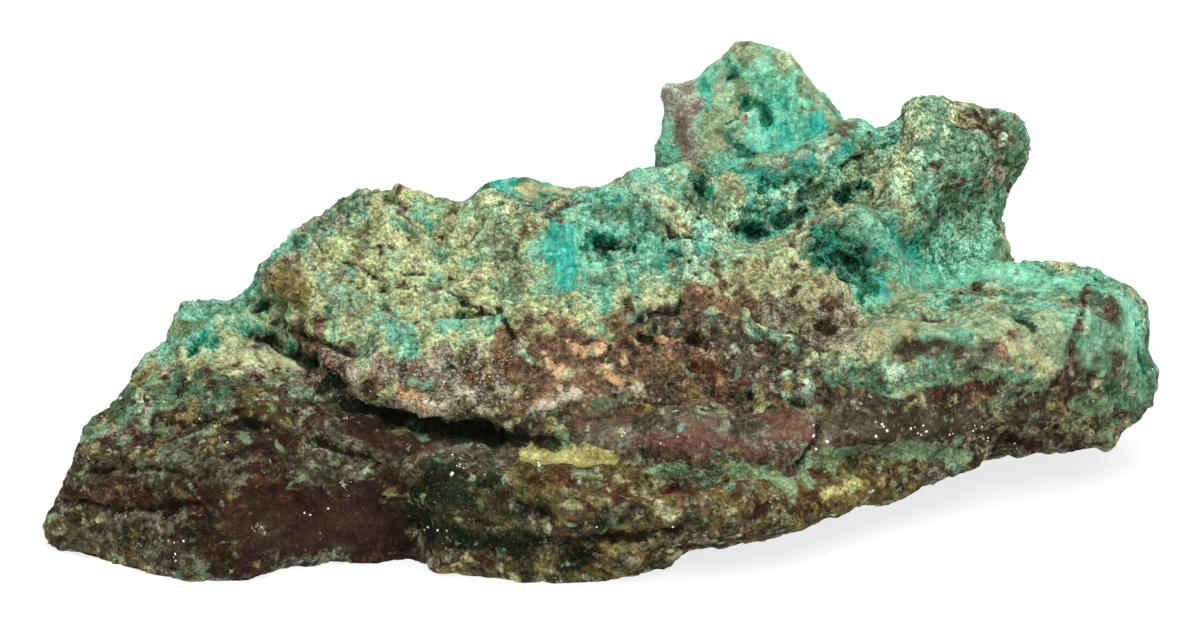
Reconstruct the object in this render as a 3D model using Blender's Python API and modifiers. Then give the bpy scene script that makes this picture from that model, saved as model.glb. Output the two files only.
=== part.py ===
"""Raw chrysocolla: one rough lump of copper ore, as broken from the vein, lying on its flattest side.

Metres, +Z up. +X runs along the stone's length to its blunt end, +Y runs from its broken front face to
its back. The origin is on the ground, under the middle of the stone's bounding box.
"""

import bmesh
import bpy
import numpy as np
from mathutils import Vector, noise

# Driving dimensions
LENGTH = 0.110
UNIT = LENGTH / 110  # every place and size below is in this unit, which is 1 mm at this length
BLOCK_GRAIN = 0.9  # voxel that joins the masses
CARVED_GRAIN = 0.7  # voxel that closes the skin again after carving
SOFTENING = 2  # rounds of smoothing that wear the blocks' edges
SOFTENING_STEP = 0.5
SEED = 1  # which way the fracture faces tilt
TRIANGLES = 10600  # before the underside is cut off, which takes about a tenth

# The masses that the stone is made of: corners of convex blocks that run into each other.
MASSES = {
    "left_wedge": [
        (-54, -17, 0.5), (-53, -13, 0), (-53, -15, 5), (-50.6, -17, 9.6), (-47, -9.5, 12.8),
        (-43, -4.6, 16.8), (-41.2, -3, 19), (-38, -1, 18.8), (-35.4, 2, 17.8), (-51, -17.6, -0.6),
        (-46.8, -21.4, -1), (-38, -25.6, -1), (-34.6, -25.2, -1), (-24, -20.2, -1), (-33, -22, 10.5),
        (-30, -14, 13.5), (-20, -20, 10), (-33, 8, 14), (-44, 4, 6), (-40, 12, -1), (-15, 0, -1),
        (-20, -20.6, 4), (-17, -18, 9.6),
    ],
    "front_foot": [
        (-15.2, -23.2, -1), (-15.8, -24, 5), (1.6, -25.2, -1), (2.6, -25.8, 6), (-12, -25, 9),
        (-4, -22, 10.5), (7, -22, 1), (8, -23, 8), (-17, -20, 1), (-19, -20, 10), (0, 0, -1),
        (-15, 0, -1), (10, -10, 9),
    ],
    "front_roll": [
        (-6, -24, 9.5), (-6, -25, 5), (9, -24, 9), (9, -25.5, 5), (20, -20, 7.5), (20, -21, 4.5),
        (9, -22, 2.4), (21.8, -18, 2.2), (28, -13.4, 4), (33, -8.8, 5.4), (38, -6.6, 5.2), (38, -6, 6),
        (35, -9.4, 6), (29, -13, 7.6), (30, 0, 2.4), (10, -5, 5),
    ],
    "upper_mass": [
        (-35.2, 1.2, 20.6), (-35.6, 1.4, 17.8), (-31.5, 3, 24.8), (-26.2, 4, 27.6), (-18.8, 4, 28.2),
        (-7.5, 3, 26.8), (-32, -6, 16.8), (-25.5, -14, 14.8), (-19, -17.8, 13), (-11.5, -18.8, 11.8),
        (-3.5, -18.4, 11.6), (-24, -8, 10), (-12, -12, 6), (-31, 9, 15), (-14, 12, 16), (0, 10, 12),
        (0, -2, 25), (-8, 8, 24),
    ],
    "crest_mass": [
        (-7.5, 3, 27.8), (-3, 3, 29.2), (0.6, 3.5, 30.8), (5, 3.5, 31.6), (9, 6, 30.2), (-4, -10, 18.8),
        (-2, -4, 24.6), (4, -5, 23.8), (10, -4, 22.6), (0, 10, 24), (12, 10, 24), (6, 16, 20),
        (0, -13, 14.5), (12, -12, 15.5), (-6, -10, 10),
    ],
    "brown_slope": [
        (-4, -18, 11), (-4, -10, 18), (1, -12, 16), (10, -6, 20.5), (22, -8, 17.6), (9.5, -20.5, 9.4),
        (22, -16.5, 9.4), (33, -11, 7.6), (31, -8.5, 16), (10, 4, 8), (28, 4, 8),
    ],
    "ridge_spur": [
        (9.7, -3, 22.4), (16, 0, 23.8), (22, 3, 25.2), (27.7, 5.6, 26), (16, -4, 19), (22, -4, 18.4),
        (30, 4, 18), (12, 8, 20), (27, 14, 22), (10, 0, 12), (30, 10, 10),
    ],
    "right_peak": [
        (31, 14, 33.6), (33, 15, 34.2), (41.2, 15.5, 31.9), (43, 15, 28.4), (39, 12.5, 22.4),
        (27.7, 6, 25.6), (29.8, 10, 28.8), (26, 17, 29.2), (32, 22, 27), (40, 21, 26), (28, 22, 20),
        (38, 20, 20),
    ],
    "right_peak_neck": [
        (27.7, 6, 25.4), (38.8, 12.5, 22.6), (38, 10, 17), (33, 7, 17.6), (30, 5, 17.6), (39, 19, 20),
        (28, 24, 16), (39.5, 18, 8), (36, 24, 0), (26, 26, 0), (24, 16, 22),
    ],
    "back_peak": [
        (10.6, 21, 38.3), (14, 21, 39), (18, 21, 36.9), (22, 21, 31.8), (5.6, 20.5, 32.4),
        (7.4, 20.8, 34.2), (4, 19, 24.8), (6, 20, 29), (10, 13, 27), (20, 14, 26), (25, 19, 26),
        (15, 28, 28), (5, 27, 18), (23, 27, 18), (14, 29, 10),
    ],
    "linking_band": [
        (9, 8, 27.4), (14, 11, 26.8), (22, 13.5, 28.8), (28, 14, 32), (26, 18, 31), (12, 18, 26),
        (10, 6, 20), (24, 8, 20), (26, 20, 14), (8, 20, 14),
    ],
    "right_lobe": [
        (22, -7, 18.2), (29, -8, 17.8), (38, -6.5, 18.4), (46.8, -4, 18), (50, 4, 18.2), (45, 10, 18.4),
        (40, 10, 18.2), (52.6, 4, 13.4), (54.4, 3.6, 9.2), (53.6, 2, 5), (50.5, -3, 5.2), (47.5, -5.5, 10),
        (36, -8.6, 9), (30, -11, 7.6), (36, -7.5, 6), (30, 6, 10), (53, 8, 12), (52, 9, 5.4), (50, 13, 8),
        (44, 17, 9), (26, -4, 16), (24, 0, 17.6), (31, 6, 17.8),
    ],
    "right_slab": [
        (36, -6.6, 4.6), (36, -6, 5.8), (49, -2.8, 5), (49.2, -2.6, 3.6), (46, 9, 0.6), (34, 4, 0.8),
        (50, 7, 1.4), (44, 6, 6),
    ],
    "rear_shelf": [
        (-14.4, 16.5, 22), (-11.4, 17, 24), (-5.4, 17, 23.2), (1, 18, 22), (-16, 20, 15), (0, 25, 14),
        (-6, 24, 18), (-20, 20, 2), (2, 27, 2), (-8, 6, 20), (8, 8, 20), (-30, 11, 12), (10, 24, 10),
        (6, 20, 22),
    ],
    "underside": [
        (-48, -12, -1), (-32, -22, -1), (-2, -23, -1), (17, -13.6, -1), (34, 2.2, -1), (43, 8, -1),
        (36, 22, -1), (12, 28, -1), (-16, 22, -1), (-40, 10, -1), (-38, -2, 8), (0, 0, 16),
        (34, 8, 10), (14, 22, 14), (-20, 8, 14), (30, 20, 12),
    ],
}

# Strokes on the skin, made in this order. Each is snapped to the skin's nearest points first.
# Lumps: radius, how far they stand out, place.
LUMPS = {
    "crest_knob": (1.7, 1.4, (-19.6, 3.6, 28.6)),
    "horn": (2.0, 0.9, (5.8, 20.6, 33)),
    "hole_rim": (3.2, 1.2, (9, 4.8, 28.4)),
    "nodule": (1.9, 1.1, (19.3, -10.4, 16.2)),
    "nodule_low": (1.5, 0.9, (18.3, -12, 15)),
    "drip": (1.6, 1.0, (-26.7, -12, 15.4)),
    "roll_bulge": (4.0, 1.0, (-2.6, -26, 7.6)),
    "roll_bulge_right": (4.0, 0.9, (6.6, -24.8, 7.6)),
    "foot_rib": (2.0, 0.9, (1.4, -26, 3)),
    "slope_boss": (3.6, 0.9, (0, -13.6, 15.4)),
    "lens_bulge": (6.0, 0.8, (9, -17.6, 12)),
    "left_boss": (4.0, 0.9, (-34, -14.6, 14.4)),
    "shoulder": (2.6, 0.7, (-40.8, -3.4, 18.8)),
    "back_boss": (7.0, 2.2, (8, 26, 20)),
    "back_boss_left": (6.0, 1.8, (-26, 12, 12)),
}
# Grooves: half width, depth, line. The skin goes in the way it faces there.
GROOVES = {
    "thin_crack": (1.1, 1.0, [(-27.5, -18.4, 11.4), (-24.5, -20, 10.4), (-21, -20.3, 9.6), (-17, -21.7, 9)]),
    "left_crack": (1.5, 3.0, [(-34, -4.2, 16.4), (-30.8, -6, 15.4), (-28, -9, 15)]),
    "roll_seam": (1.8, 1.5, [(-7.5, -23.8, 9.6), (0, -23, 9.6), (9.5, -21, 9.4), (18, -19, 8.8)]),
    "roll_seam_right": (1.6, 1.2, [(18, -19, 8.8), (22, -16.6, 8.8), (29, -11.4, 8), (35, -9.4, 6.8)]),
    "lens_ledge": (1.3, 1.3, [(-5.7, -16.7, 13.2), (0, -14.8, 14), (5.7, -14, 14.5), (13.4, -13.9, 14)]),
    "dark_seam": (1.2, 0.9, [(-19.2, -12, 16.8), (-15.4, -11.8, 17.3), (-10.6, -11.3, 17.9)]),
    "lobe_crack": (1.3, 1.2, [(48, 4.7, 17.8), (47.2, -2, 17.6), (46.3, -4.8, 15), (45, -6.1, 9.9)]),
    "trough": (2.4, 2.4, [(11.6, 5, 22.6), (15, 7.2, 22.6), (20, 9.2, 24.2), (25, 11.4, 27), (29, 12, 30)]),
    "spur_foot": (1.8, 1.0, [(13, -5, 20.2), (19, -5, 18.6), (26, -2.6, 18.2)]),
    "bed_upper": (1.3, 0.8, [(-47, -15.5, 11), (-41, -16.4, 12), (-34.3, -18, 12.2), (-29.5, -18, 12)]),
    "bed_middle": (1.2, 0.7, [(-50.3, -16.8, 7.6), (-43.8, -19, 9), (-37, -21, 9.2), (-28.4, -20.8, 9.8)]),
    "bed_lower": (1.2, 0.6, [(-52, -16.4, 3.8), (-44.6, -20.4, 6.2), (-36, -23.4, 6.4), (-28, -23, 6.6)]),
    "crest_notch": (1.6, 0.9, [(-18, 4, 28), (-17, 1, 26.6), (-16.6, -2, 24.6)]),
    "crest_fold": (1.5, 0.8, [(-8, 3, 28), (-6.6, 0, 26.8), (-5.6, -3, 24.8)]),
    "peak_foot": (1.6, 1.0, [(4.6, 14, 25.6), (8, 13.4, 26.8), (12, 13, 27.4)]),
    "back_cleft": (2.4, 2.0, [(-20, 16, 14), (-14, 22, 9), (-10, 24, 3)]),
    "back_trough": (3.0, 2.4, [(24, 24, 24), (25, 26, 16), (27, 27, 8)]),
    "back_bed": (1.6, 1.0, [(-30, 14, 10), (-16, 21, 12), (-2, 25, 11), (10, 27, 12)]),
}
# Ledges: half width, depth, the way in, line. The lip above hangs over.
LEDGES = {
    "undercut": (
        2.1, 4.2, (0.3, 0.85, 0.4),
        [(-26, -12, 13), (-21.8, -14.8, 12), (-17.9, -16.9, 11.4), (-13.2, -17.8, 11), (-8.5, -18.2, 10.4)],
    ),
    "undercut_end": (1.5, 2.2, (0, 0.9, 0.4), [(-8.5, -18.2, 10.4), (-4, -18.4, 10.8)]),
    "slab_ledge": (
        1.3, 2.2, (-0.2, 0.9, 0.4),
        [(38.8, -7, 6.2), (42.8, -5.8, 6.4), (46.8, -4.6, 6.4), (50, -2.6, 6)],
    ),
    "crest_hole": (1.9, 4.2, (0.1, 1, -0.3), [(9, 4, 29.2)]),
    "foot_side": (1.4, 1.0, (0.6, 0.8, 0), [(-17.6, -21.6, 0.6), (-17.4, -22.4, 4), (-16.4, -23.4, 7.3)]),
}
# Pits: radius, depth, place.
PITS = {
    "spur_cavity": (3.4, 5.2, (23, 2, 20.8)),
    "spur_cavity_end": (2.4, 2.6, (24.8, 2.7, 18.8)),
    "slot": (2.0, 3.2, (0, -2.3, 25.1)),
    "vug": (3.0, 4.4, (14.4, 18.4, 31.4)),
    "vug_bowl": (4.6, 2.4, (18, 17, 29)),
    "vug_side": (2.0, 1.8, (13.2, 16.6, 29.4)),
    "trough_vug_high": (2.2, 2.6, (15.3, 10, 26.6)),
    "trough_vug_far": (2.0, 2.4, (18.8, 11, 25.6)),
    "trough_vug": (2.4, 2.4, (16.9, 9.9, 22.6)),
    "trough_vug_low": (2.4, 2.4, (13.4, 8.3, 22.9)),
    "left_hole": (1.8, 2.4, (-32.1, -2.3, 18.4)),
    "brown_pit": (1.6, 1.8, (3.4, -10.4, 18.9)),
    "brown_pit_right": (1.5, 1.7, (8.2, -9.5, 18.2)),
    "foot_cavity": (3.0, 4.0, (-3.2, -24.1, 2.6)),
    "foot_cavity_left": (2.0, 1.4, (-6.8, -27, 2.4)),
    "roll_slot": (1.9, 2.6, (-8.5, -23.7, 8.2)),
    "roll_slot_low": (1.7, 1.8, (-6.9, -24.6, 6.7)),
    "lobe_dent": (2.2, 0.9, (38.8, -6.5, 17.2)),
    "peak_dent": (3.4, 0.9, (34, 9.4, 25)),
    "back_hollow": (6.0, 3.0, (-6, 23, 18)),
    "back_hollow_right": (5.0, 2.6, (36, 23, 17)),
    "end_hollow": (4.0, 1.6, (53, 7, 10)),
    "base_hollow": (9.0, 2.0, (-6, -6, 0)),
    "base_hollow_right": (8.0, 2.0, (24, 10, 0)),
}
# Roughness: size of the bumps and how far they stand out.
SWELL = (13.0, 0.8)
KNOBS = (5.5, 0.5)
KNOB_MIDDLE = 0.6  # the height of a knob's flank, which stays where the skin was
GRAIN = (2.4, 0.3)
CHIPS = (7.5, 2.4)  # flat fracture faces, each tilted its own way
SMALL_CHIPS = (3.6, 1.1)
CHIP_EDGE = 0.14  # how soft the edge between two chips is, as a share of their size
TILT_SPACING = 3.1  # how far apart two neighbouring chips' tilts are read from the noise
# Beds are long and thin, as the ore split. They dip to the right, up to the crust, which has rounder bumps.
BED_LENGTH = 11.0
BED_THICKNESS = 1.7
BED_HEIGHT = 0.55
BED_DIP = 0.12
BEDS_BELOW = 13.0
BEDS_FADE = 3.0


def clear_scene():
    for obj in list(bpy.data.objects):
        bpy.data.objects.remove(obj)


def masses_mesh():
    """The convex blocks, each closed, side by side in one mesh."""
    joined = bmesh.new()
    for corners in MASSES.values():
        block = bmesh.new()
        for corner in corners:
            block.verts.new(Vector(corner) * UNIT)
        hull = bmesh.ops.convex_hull(block, input=block.verts)
        inside = [v for v in hull["geom_interior"] if isinstance(v, bmesh.types.BMVert)]
        bmesh.ops.delete(block, geom=inside, context="VERTS")
        part = bpy.data.meshes.new("block")
        block.to_mesh(part)
        block.free()
        joined.from_mesh(part)
        bpy.data.meshes.remove(part)
    mesh = bpy.data.meshes.new("masses")
    joined.to_mesh(mesh)
    joined.free()
    return mesh


def modified(mesh, kind, **settings):
    """A new mesh: this one with one modifier applied."""
    helper = bpy.data.objects.new("helper", mesh)
    bpy.context.collection.objects.link(helper)
    modifier = helper.modifiers.new(kind, kind)
    for name, value in settings.items():
        setattr(modifier, name, value)
    bpy.context.view_layer.update()
    graph = bpy.context.evaluated_depsgraph_get()
    made = bpy.data.meshes.new_from_object(helper.evaluated_get(graph))
    bpy.data.objects.remove(helper)
    return made


def one_skin(mesh, grain):
    return modified(mesh, "REMESH", mode="VOXEL", voxel_size=grain * UNIT)


def points_of(mesh):
    """(places, normals) of the mesh's points, places in units."""
    places = np.empty(len(mesh.vertices) * 3, np.float32)
    mesh.vertices.foreach_get("co", places)
    normals = np.empty(len(mesh.vertices) * 3, np.float32)
    mesh.vertex_normals.foreach_get("vector", normals)
    return places.reshape(-1, 3) / UNIT, normals.reshape(-1, 3)


def set_points(mesh, places):
    mesh.vertices.foreach_set("co", (places * UNIT).astype(np.float32).ravel())
    mesh.update()


def snapped(line, places):
    """Each corner of the line moved to the skin's nearest point."""
    return [places[((places - np.array(corner)) ** 2).sum(axis=1).argmin()] for corner in line]


def distance_to_line(places, line):
    nearest = np.full(len(places), np.inf)
    for start, end in zip(line[:-1], line[1:]):
        along = end - start
        share = np.clip(((places - start) @ along) / max(along @ along, 1e-6), 0, 1)
        gap = places - start - share[:, None] * along
        nearest = np.minimum(nearest, np.sqrt((gap**2).sum(axis=1)))
    return nearest


def falloff(distance, reach):
    """1 on the line, 0 past its reach, smooth between."""
    near = np.clip(1 - distance / reach, 0, 1)
    return near * near * (3 - 2 * near)


def pressed(places, normals, line, reach, depth, into=None):
    """The skin pushed in along the line, against the way that it faces there unless a way in is given."""
    line = snapped(line, places)
    line = line * 2 if len(line) == 1 else line
    weight = falloff(distance_to_line(places, line), reach)
    into = -(normals * weight[:, None]).sum(axis=0) if into is None else np.array(into)
    return places + into / np.linalg.norm(into) * (depth * weight)[:, None]


def carve(mesh):
    places, normals = points_of(mesh)
    for reach, height, point in LUMPS.values():
        places = pressed(places, normals, [point], reach, -height)
    for reach, depth, line in GROOVES.values():
        places = pressed(places, normals, line, reach, depth)
    for reach, depth, into, line in LEDGES.values():
        places = pressed(places, normals, line, reach, depth, into)
    for reach, depth, point in PITS.values():
        places = pressed(places, normals, [point], reach, depth)
    set_points(mesh, places)


def rough(place, size):
    return noise.noise(Vector(place) / size)


def ridged(place, size):
    """Sharp-crested bumps: 1 on a crest, down to 0."""
    return 1 - abs(noise.noise(Vector(place) / size, noise_basis="PERLIN_NEW")) * 2


def chipped(place, size):
    """Flat faces about this size, tilted their own way, with a step from one to the next."""
    spot = Vector(place) / size
    distances, seeds = noise.voronoi(spot)
    first, second = (noise.noise_vector(seed * TILT_SPACING).dot(spot - seed) for seed in seeds[:2])
    inside = min((distances[1] - distances[0]) / CHIP_EDGE, 1)
    return first * (1 + inside) / 2 + second * (1 - inside) / 2


def roughen(mesh):
    places, normals = points_of(mesh)
    heights = np.empty(len(places))
    for i, place in enumerate(places):
        crust = np.clip((place[2] - BEDS_BELOW) / BEDS_FADE, 0, 1)
        across = (place[2] + BED_DIP * place[0]) / BED_THICKNESS
        bed = Vector((place[0] / BED_LENGTH, place[1] / BED_LENGTH, across))
        heights[i] = (
            SWELL[1] * rough(place, SWELL[0])
            + KNOBS[1] * (ridged(place, KNOBS[0]) - KNOB_MIDDLE)
            + CHIPS[1] * chipped(place, CHIPS[0])
            + SMALL_CHIPS[1] * chipped(place, SMALL_CHIPS[0])
            + GRAIN[1] * rough(place, GRAIN[0]) * (1 + crust)
            + BED_HEIGHT * noise.noise(bed) * (1 - crust)
        )
    set_points(mesh, places + normals * heights[:, None])


def largest_piece(mesh):
    """The mesh without any small piece that came loose from it."""
    kept = bmesh.new()
    kept.from_mesh(mesh)
    waiting = set(kept.verts)
    pieces = []
    while waiting:
        edge = [waiting.pop()]
        piece = list(edge)
        while edge:
            near = {e.other_vert(v) for v in edge for e in v.link_edges} & waiting
            waiting -= near
            edge = list(near)
            piece += edge
        pieces.append(piece)
    pieces.sort(key=len)
    for piece in pieces[:-1]:
        bmesh.ops.delete(kept, geom=piece, context="VERTS")
    kept.to_mesh(mesh)
    kept.free()


def cut_flat(mesh):
    """The underside cut level on the ground, where the stone rests."""
    cut = bmesh.new()
    cut.from_mesh(mesh)
    whole = cut.verts[:] + cut.edges[:] + cut.faces[:]
    ground, down = (0, 0, 0), (0, 0, -1)
    made = bmesh.ops.bisect_plane(cut, geom=whole, plane_co=ground, plane_no=down, clear_outer=True)
    rim = [e for e in made["geom_cut"] if isinstance(e, bmesh.types.BMEdge)]
    bmesh.ops.triangle_fill(cut, edges=rim, use_beauty=True, normal=down)
    bmesh.ops.recalc_face_normals(cut, faces=cut.faces)
    bmesh.ops.triangulate(cut, faces=cut.faces)
    cut.to_mesh(mesh)
    cut.free()


def centred(mesh):
    """Scaled to the stone's length, with the origin on the ground under the middle of its box."""
    places, _ = points_of(mesh)
    low, high = places.min(axis=0), places.max(axis=0)
    middle = (low + high) / 2 * (1, 1, 0)
    set_points(mesh, (places - middle) * (LENGTH / UNIT / (high[0] - low[0])))


def copper_ore():
    material = bpy.data.materials.new("copper_ore")
    material.use_nodes = True
    finish = material.node_tree.nodes["Principled BSDF"].inputs
    finish["Base Color"].default_value = (0.11, 0.30, 0.21, 1)
    finish["Roughness"].default_value = 0.85
    finish["Metallic"].default_value = 0
    return material


def main():
    clear_scene()
    noise.seed_set(SEED)
    skin = one_skin(masses_mesh(), BLOCK_GRAIN)
    skin = modified(skin, "SMOOTH", factor=SOFTENING_STEP, iterations=SOFTENING)
    carve(skin)
    roughen(skin)
    skin = one_skin(skin, CARVED_GRAIN)
    largest_piece(skin)
    triangles = sum(len(face.vertices) - 2 for face in skin.polygons)
    skin = modified(skin, "DECIMATE", ratio=TRIANGLES / triangles)
    cut_flat(skin)
    centred(skin)
    skin.materials.append(copper_ore())
    stone = bpy.data.objects.new("stone", skin)
    collection = bpy.data.collections.new("raw_chrysocolla")
    bpy.context.scene.collection.children.link(collection)
    collection.objects.link(stone)


main()
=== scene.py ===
import itertools
import math
from types import SimpleNamespace

import bpy
import numpy as np
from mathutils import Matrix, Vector
from mathutils.bvhtree import BVHTree


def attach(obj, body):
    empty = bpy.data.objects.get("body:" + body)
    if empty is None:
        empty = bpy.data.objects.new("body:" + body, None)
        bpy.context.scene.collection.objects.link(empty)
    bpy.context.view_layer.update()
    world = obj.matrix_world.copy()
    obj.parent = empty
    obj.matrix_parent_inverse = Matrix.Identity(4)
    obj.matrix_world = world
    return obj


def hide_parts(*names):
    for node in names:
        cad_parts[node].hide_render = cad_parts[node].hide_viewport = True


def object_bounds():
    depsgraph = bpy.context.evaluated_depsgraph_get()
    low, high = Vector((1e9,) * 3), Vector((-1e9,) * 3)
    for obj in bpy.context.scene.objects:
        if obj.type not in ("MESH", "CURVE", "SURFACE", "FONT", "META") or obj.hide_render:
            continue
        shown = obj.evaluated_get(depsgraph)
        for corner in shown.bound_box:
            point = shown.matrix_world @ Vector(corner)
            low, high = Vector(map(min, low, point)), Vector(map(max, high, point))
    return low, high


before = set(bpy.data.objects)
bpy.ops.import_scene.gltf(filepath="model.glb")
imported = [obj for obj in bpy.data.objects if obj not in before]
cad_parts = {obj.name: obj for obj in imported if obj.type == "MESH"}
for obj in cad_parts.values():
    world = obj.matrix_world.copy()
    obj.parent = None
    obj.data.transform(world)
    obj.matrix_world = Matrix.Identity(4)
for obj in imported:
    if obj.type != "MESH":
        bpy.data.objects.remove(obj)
cad_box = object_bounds()

# The stone is modelled in millimetres and brought to metres at the end.
MM = 0.001
SKIN_GRAIN = 0.4
SKIN_SMOOTHING = 3
MERGED_BELOW = 0.0001
# Share of the skin's faces that is kept; the far side gives up the rest.
SKIN_KEPT = 0.72
FAR_SIDE_PULL = 10.0
BOX_MARGIN = 0.02
# The foot: points lower than this stay level, but for the tips of their roughness.
FLAT_BELOW = 0.25
FOOT_ROUGHNESS = 0.35
FOOT_WEAR = 0.1

# View: a frame of 1200 by 634 dots, looking along +Y and down.
VIEW_WIDTH = 1200
VIEW_HEIGHT = 634
SENSOR = 36.0
DOT = 0.09937
CAMERA_DISTANCE = 460.0
CAMERA_ELEVATION = math.radians(22.0)
CAMERA_TARGET = Vector((-1.1, 0.0, 16.2))
LIFT = math.sin(CAMERA_ELEVATION)
AWAY = math.cos(CAMERA_ELEVATION)
CAMERA_PLACE = CAMERA_TARGET + CAMERA_DISTANCE * Vector((0.0, -AWAY, LIFT))
FORWARD = Vector((0.0, AWAY, -LIFT))
RIGHT = Vector((1.0, 0.0, 0.0))
UP = Vector((0.0, LIFT, AWAY))

# Lines thinner than this reach get a dot at least every few dots of the view, so that they
# follow the surface; farther off than NEAR from a line, only FAR counts. In millimetres.
THIN_STROKE = 0.75
DOT_STEP = 12.0
NEAR = 3.5
FAR = 99.0

# Minerals by place. Each patch has a name, its reach in millimetres and
# the dots of the view that its middle line passes through on the stone.
LIME = {
    "mass left": (7.0, (305, 300), (330, 250), (375, 225)),
    "mass middle": (7.0, (350, 290), (420, 265), (450, 235)),
    "mass right": (4.5, (480, 235), (495, 280), (510, 305)),
    "mass far": (3.2, (505, 215), (508, 260), (512, 310)),
    "shoulder": (2.6, (215, 350), (250, 362), (295, 358)),
    "mass foot": (3.0, (400, 330), (440, 345), (490, 335)),
    "mass toe": (1.2, (345, 345), (380, 350), (380, 388)),
    "crest foot": (2.4, (530, 325), (565, 308), (610, 305)),
    "crest strip": (2.4, (505, 205), (545, 192), (588, 186)),
    "rust rim": (2.2, (660, 285), (700, 278)),
    "spur foot": (4.2, (745, 285), (790, 280), (828, 300)),
    "spur ridge": (2.0, (745, 255), (815, 225), (860, 192), (900, 162)),
    "peak rim": (0.2, (905, 160), (908, 112)),
    "peak edge": (0.5, (795, 62), (822, 92), (848, 124)),
    "shoulder low": (1.4, (150, 370), (130, 390)),
    "lobe nodules": (2.0, (840, 352), (875, 362), (900, 372)),
    "lobe middle": (2.4, (1005, 345), (1040, 365)),
    "lobe right": (0.6, (1085, 330), (1100, 370)),
}
TURQUOISE = {
    "crest patch": (2.4, (562, 238), (565, 272)),
    "crest top": (3.2, (610, 212), (650, 200), (640, 225)),
    "crest low": (2.2, (600, 275), (630, 265), (655, 240)),
    "peak face": (6.0, (700, 110), (735, 75), (760, 60)),
    "peak bowl": (4.2, (765, 150), (800, 140), (835, 118)),
    "peak right": (3.0, (790, 75), (820, 105), (845, 135)),
    "peak left": (2.6, (660, 120), (655, 150), (690, 158)),
    "peak foot": (2.6, (660, 150), (700, 158)),
    "back lobe": (3.0, (480, 190), (530, 188)),
    "saddle": (3.4, (715, 168), (800, 160), (850, 140), (890, 125)),
    "valley": (3.0, (700, 235), (745, 230), (700, 205)),
    "valley low": (2.0, (680, 255), (720, 265)),
    "spur face": (3.2, (880, 230), (925, 245), (900, 280)),
    "shoulder": (1.0, (180, 338), (212, 326)),
    "notch": (0.8, (242, 325), (262, 340), (290, 350)),
    "left edge": (1.6, (250, 280), (262, 258), (290, 245)),
    "mass foot": (0.8, (385, 322), (400, 345)),
    "mass seam": (0.2, (440, 325), (470, 318), (492, 322)),
    "lobe top": (2.6, (870, 295), (960, 278), (1070, 280)),
    "lobe facet": (0.8, (1130, 310), (1140, 350)),
    "far peak": (2.0, (960, 225), (985, 250)),
    "far peak front": (1.6, (925, 215), (945, 240), (985, 238)),
}
MOSS = {
    "far peak top": (4.0, (930, 115), (965, 125), (1000, 150)),
    "far peak face": (2.2, (930, 185), (955, 205), (985, 190)),
    "far peak foot": (2.0, (895, 205), (930, 200), (965, 215)),
    "far peak rim": (1.2, (912, 110), (912, 150)),
    "spur": (1.6, (800, 240), (860, 200), (890, 175)),
    "mottle": (3.6, (105, 420), (150, 395), (205, 400)),
    "mottle right": (1.8, (230, 395), (280, 390)),
    "tip": (1.8, (70, 450), (85, 430)),
    "crest strip": (2.0, (515, 200), (545, 190), (585, 186)),
    # The lobe's right facet is darker moss: partly its colour, partly painted shade of a side
    # turned from the lamps.
    "lobe facet": (3.2, (1105, 320), (1120, 350), (1115, 390)),
    "lobe facet edge": (1.4, (1145, 340), (1150, 390)),
    "mass top": (1.6, (300, 240), (320, 215), (380, 198)),
    "lobe front": (1.8, (850, 372), (920, 375), (1000, 378)),
    "lobe side": (2.4, (1010, 320), (1040, 340), (1095, 350)),
    "lobe right low": (2.4, (1090, 400), (1120, 410)),
    "saddle": (1.2, (690, 200), (712, 215)),
    "back lobe left": (1.4, (468, 198), (480, 190)),
    "peak rim": (0.6, (705, 62), (718, 48), (742, 40)),
    "peak rim right": (0.6, (775, 55), (800, 75), (830, 105)),
    "peak foot": (0.7, (700, 160), (712, 150), (730, 140)),
    "crest": (0.6, (605, 212), (650, 216), (690, 232)),
}
SAGE = {
    "spur ridge": (2.2, (755, 250), (830, 215), (885, 172)),
    "spur shoulder": (1.8, (868, 190), (892, 198), (905, 225)),
    "lobe shoulder": (1.6, (880, 320), (905, 300), (935, 290)),
    "spur slope": (1.6, (700, 275), (745, 258), (790, 240)),
    "peak left": (1.6, (715, 62), (728, 90), (716, 120)),
    "peak rim": (0.8, (795, 62), (822, 92), (848, 124)),
    "peak top": (1.0, (728, 50), (752, 46), (778, 62)),
    "peak foot": (0.6, (692, 160), (712, 148), (735, 128)),
    "far peak rim": (0.9, (900, 158), (906, 112)),
    "lobe middle": (1.4, (1040, 320), (1060, 345), (1000, 365)),
    "lobe front": (2.0, (880, 345), (940, 325), (1010, 330), (1050, 350)),
    "lobe left": (1.6, (850, 322), (900, 325), (870, 345)),
    "valley": (1.2, (690, 215), (705, 235), (728, 195)),
    "valley right": (1.2, (812, 205), (845, 188), (872, 168)),
    "shoulder": (1.6, (225, 345), (280, 355)),
    "mass foot": (1.4, (350, 340), (372, 372)),
    "mass far": (1.6, (500, 215), (506, 262), (515, 300)),
}
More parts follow.
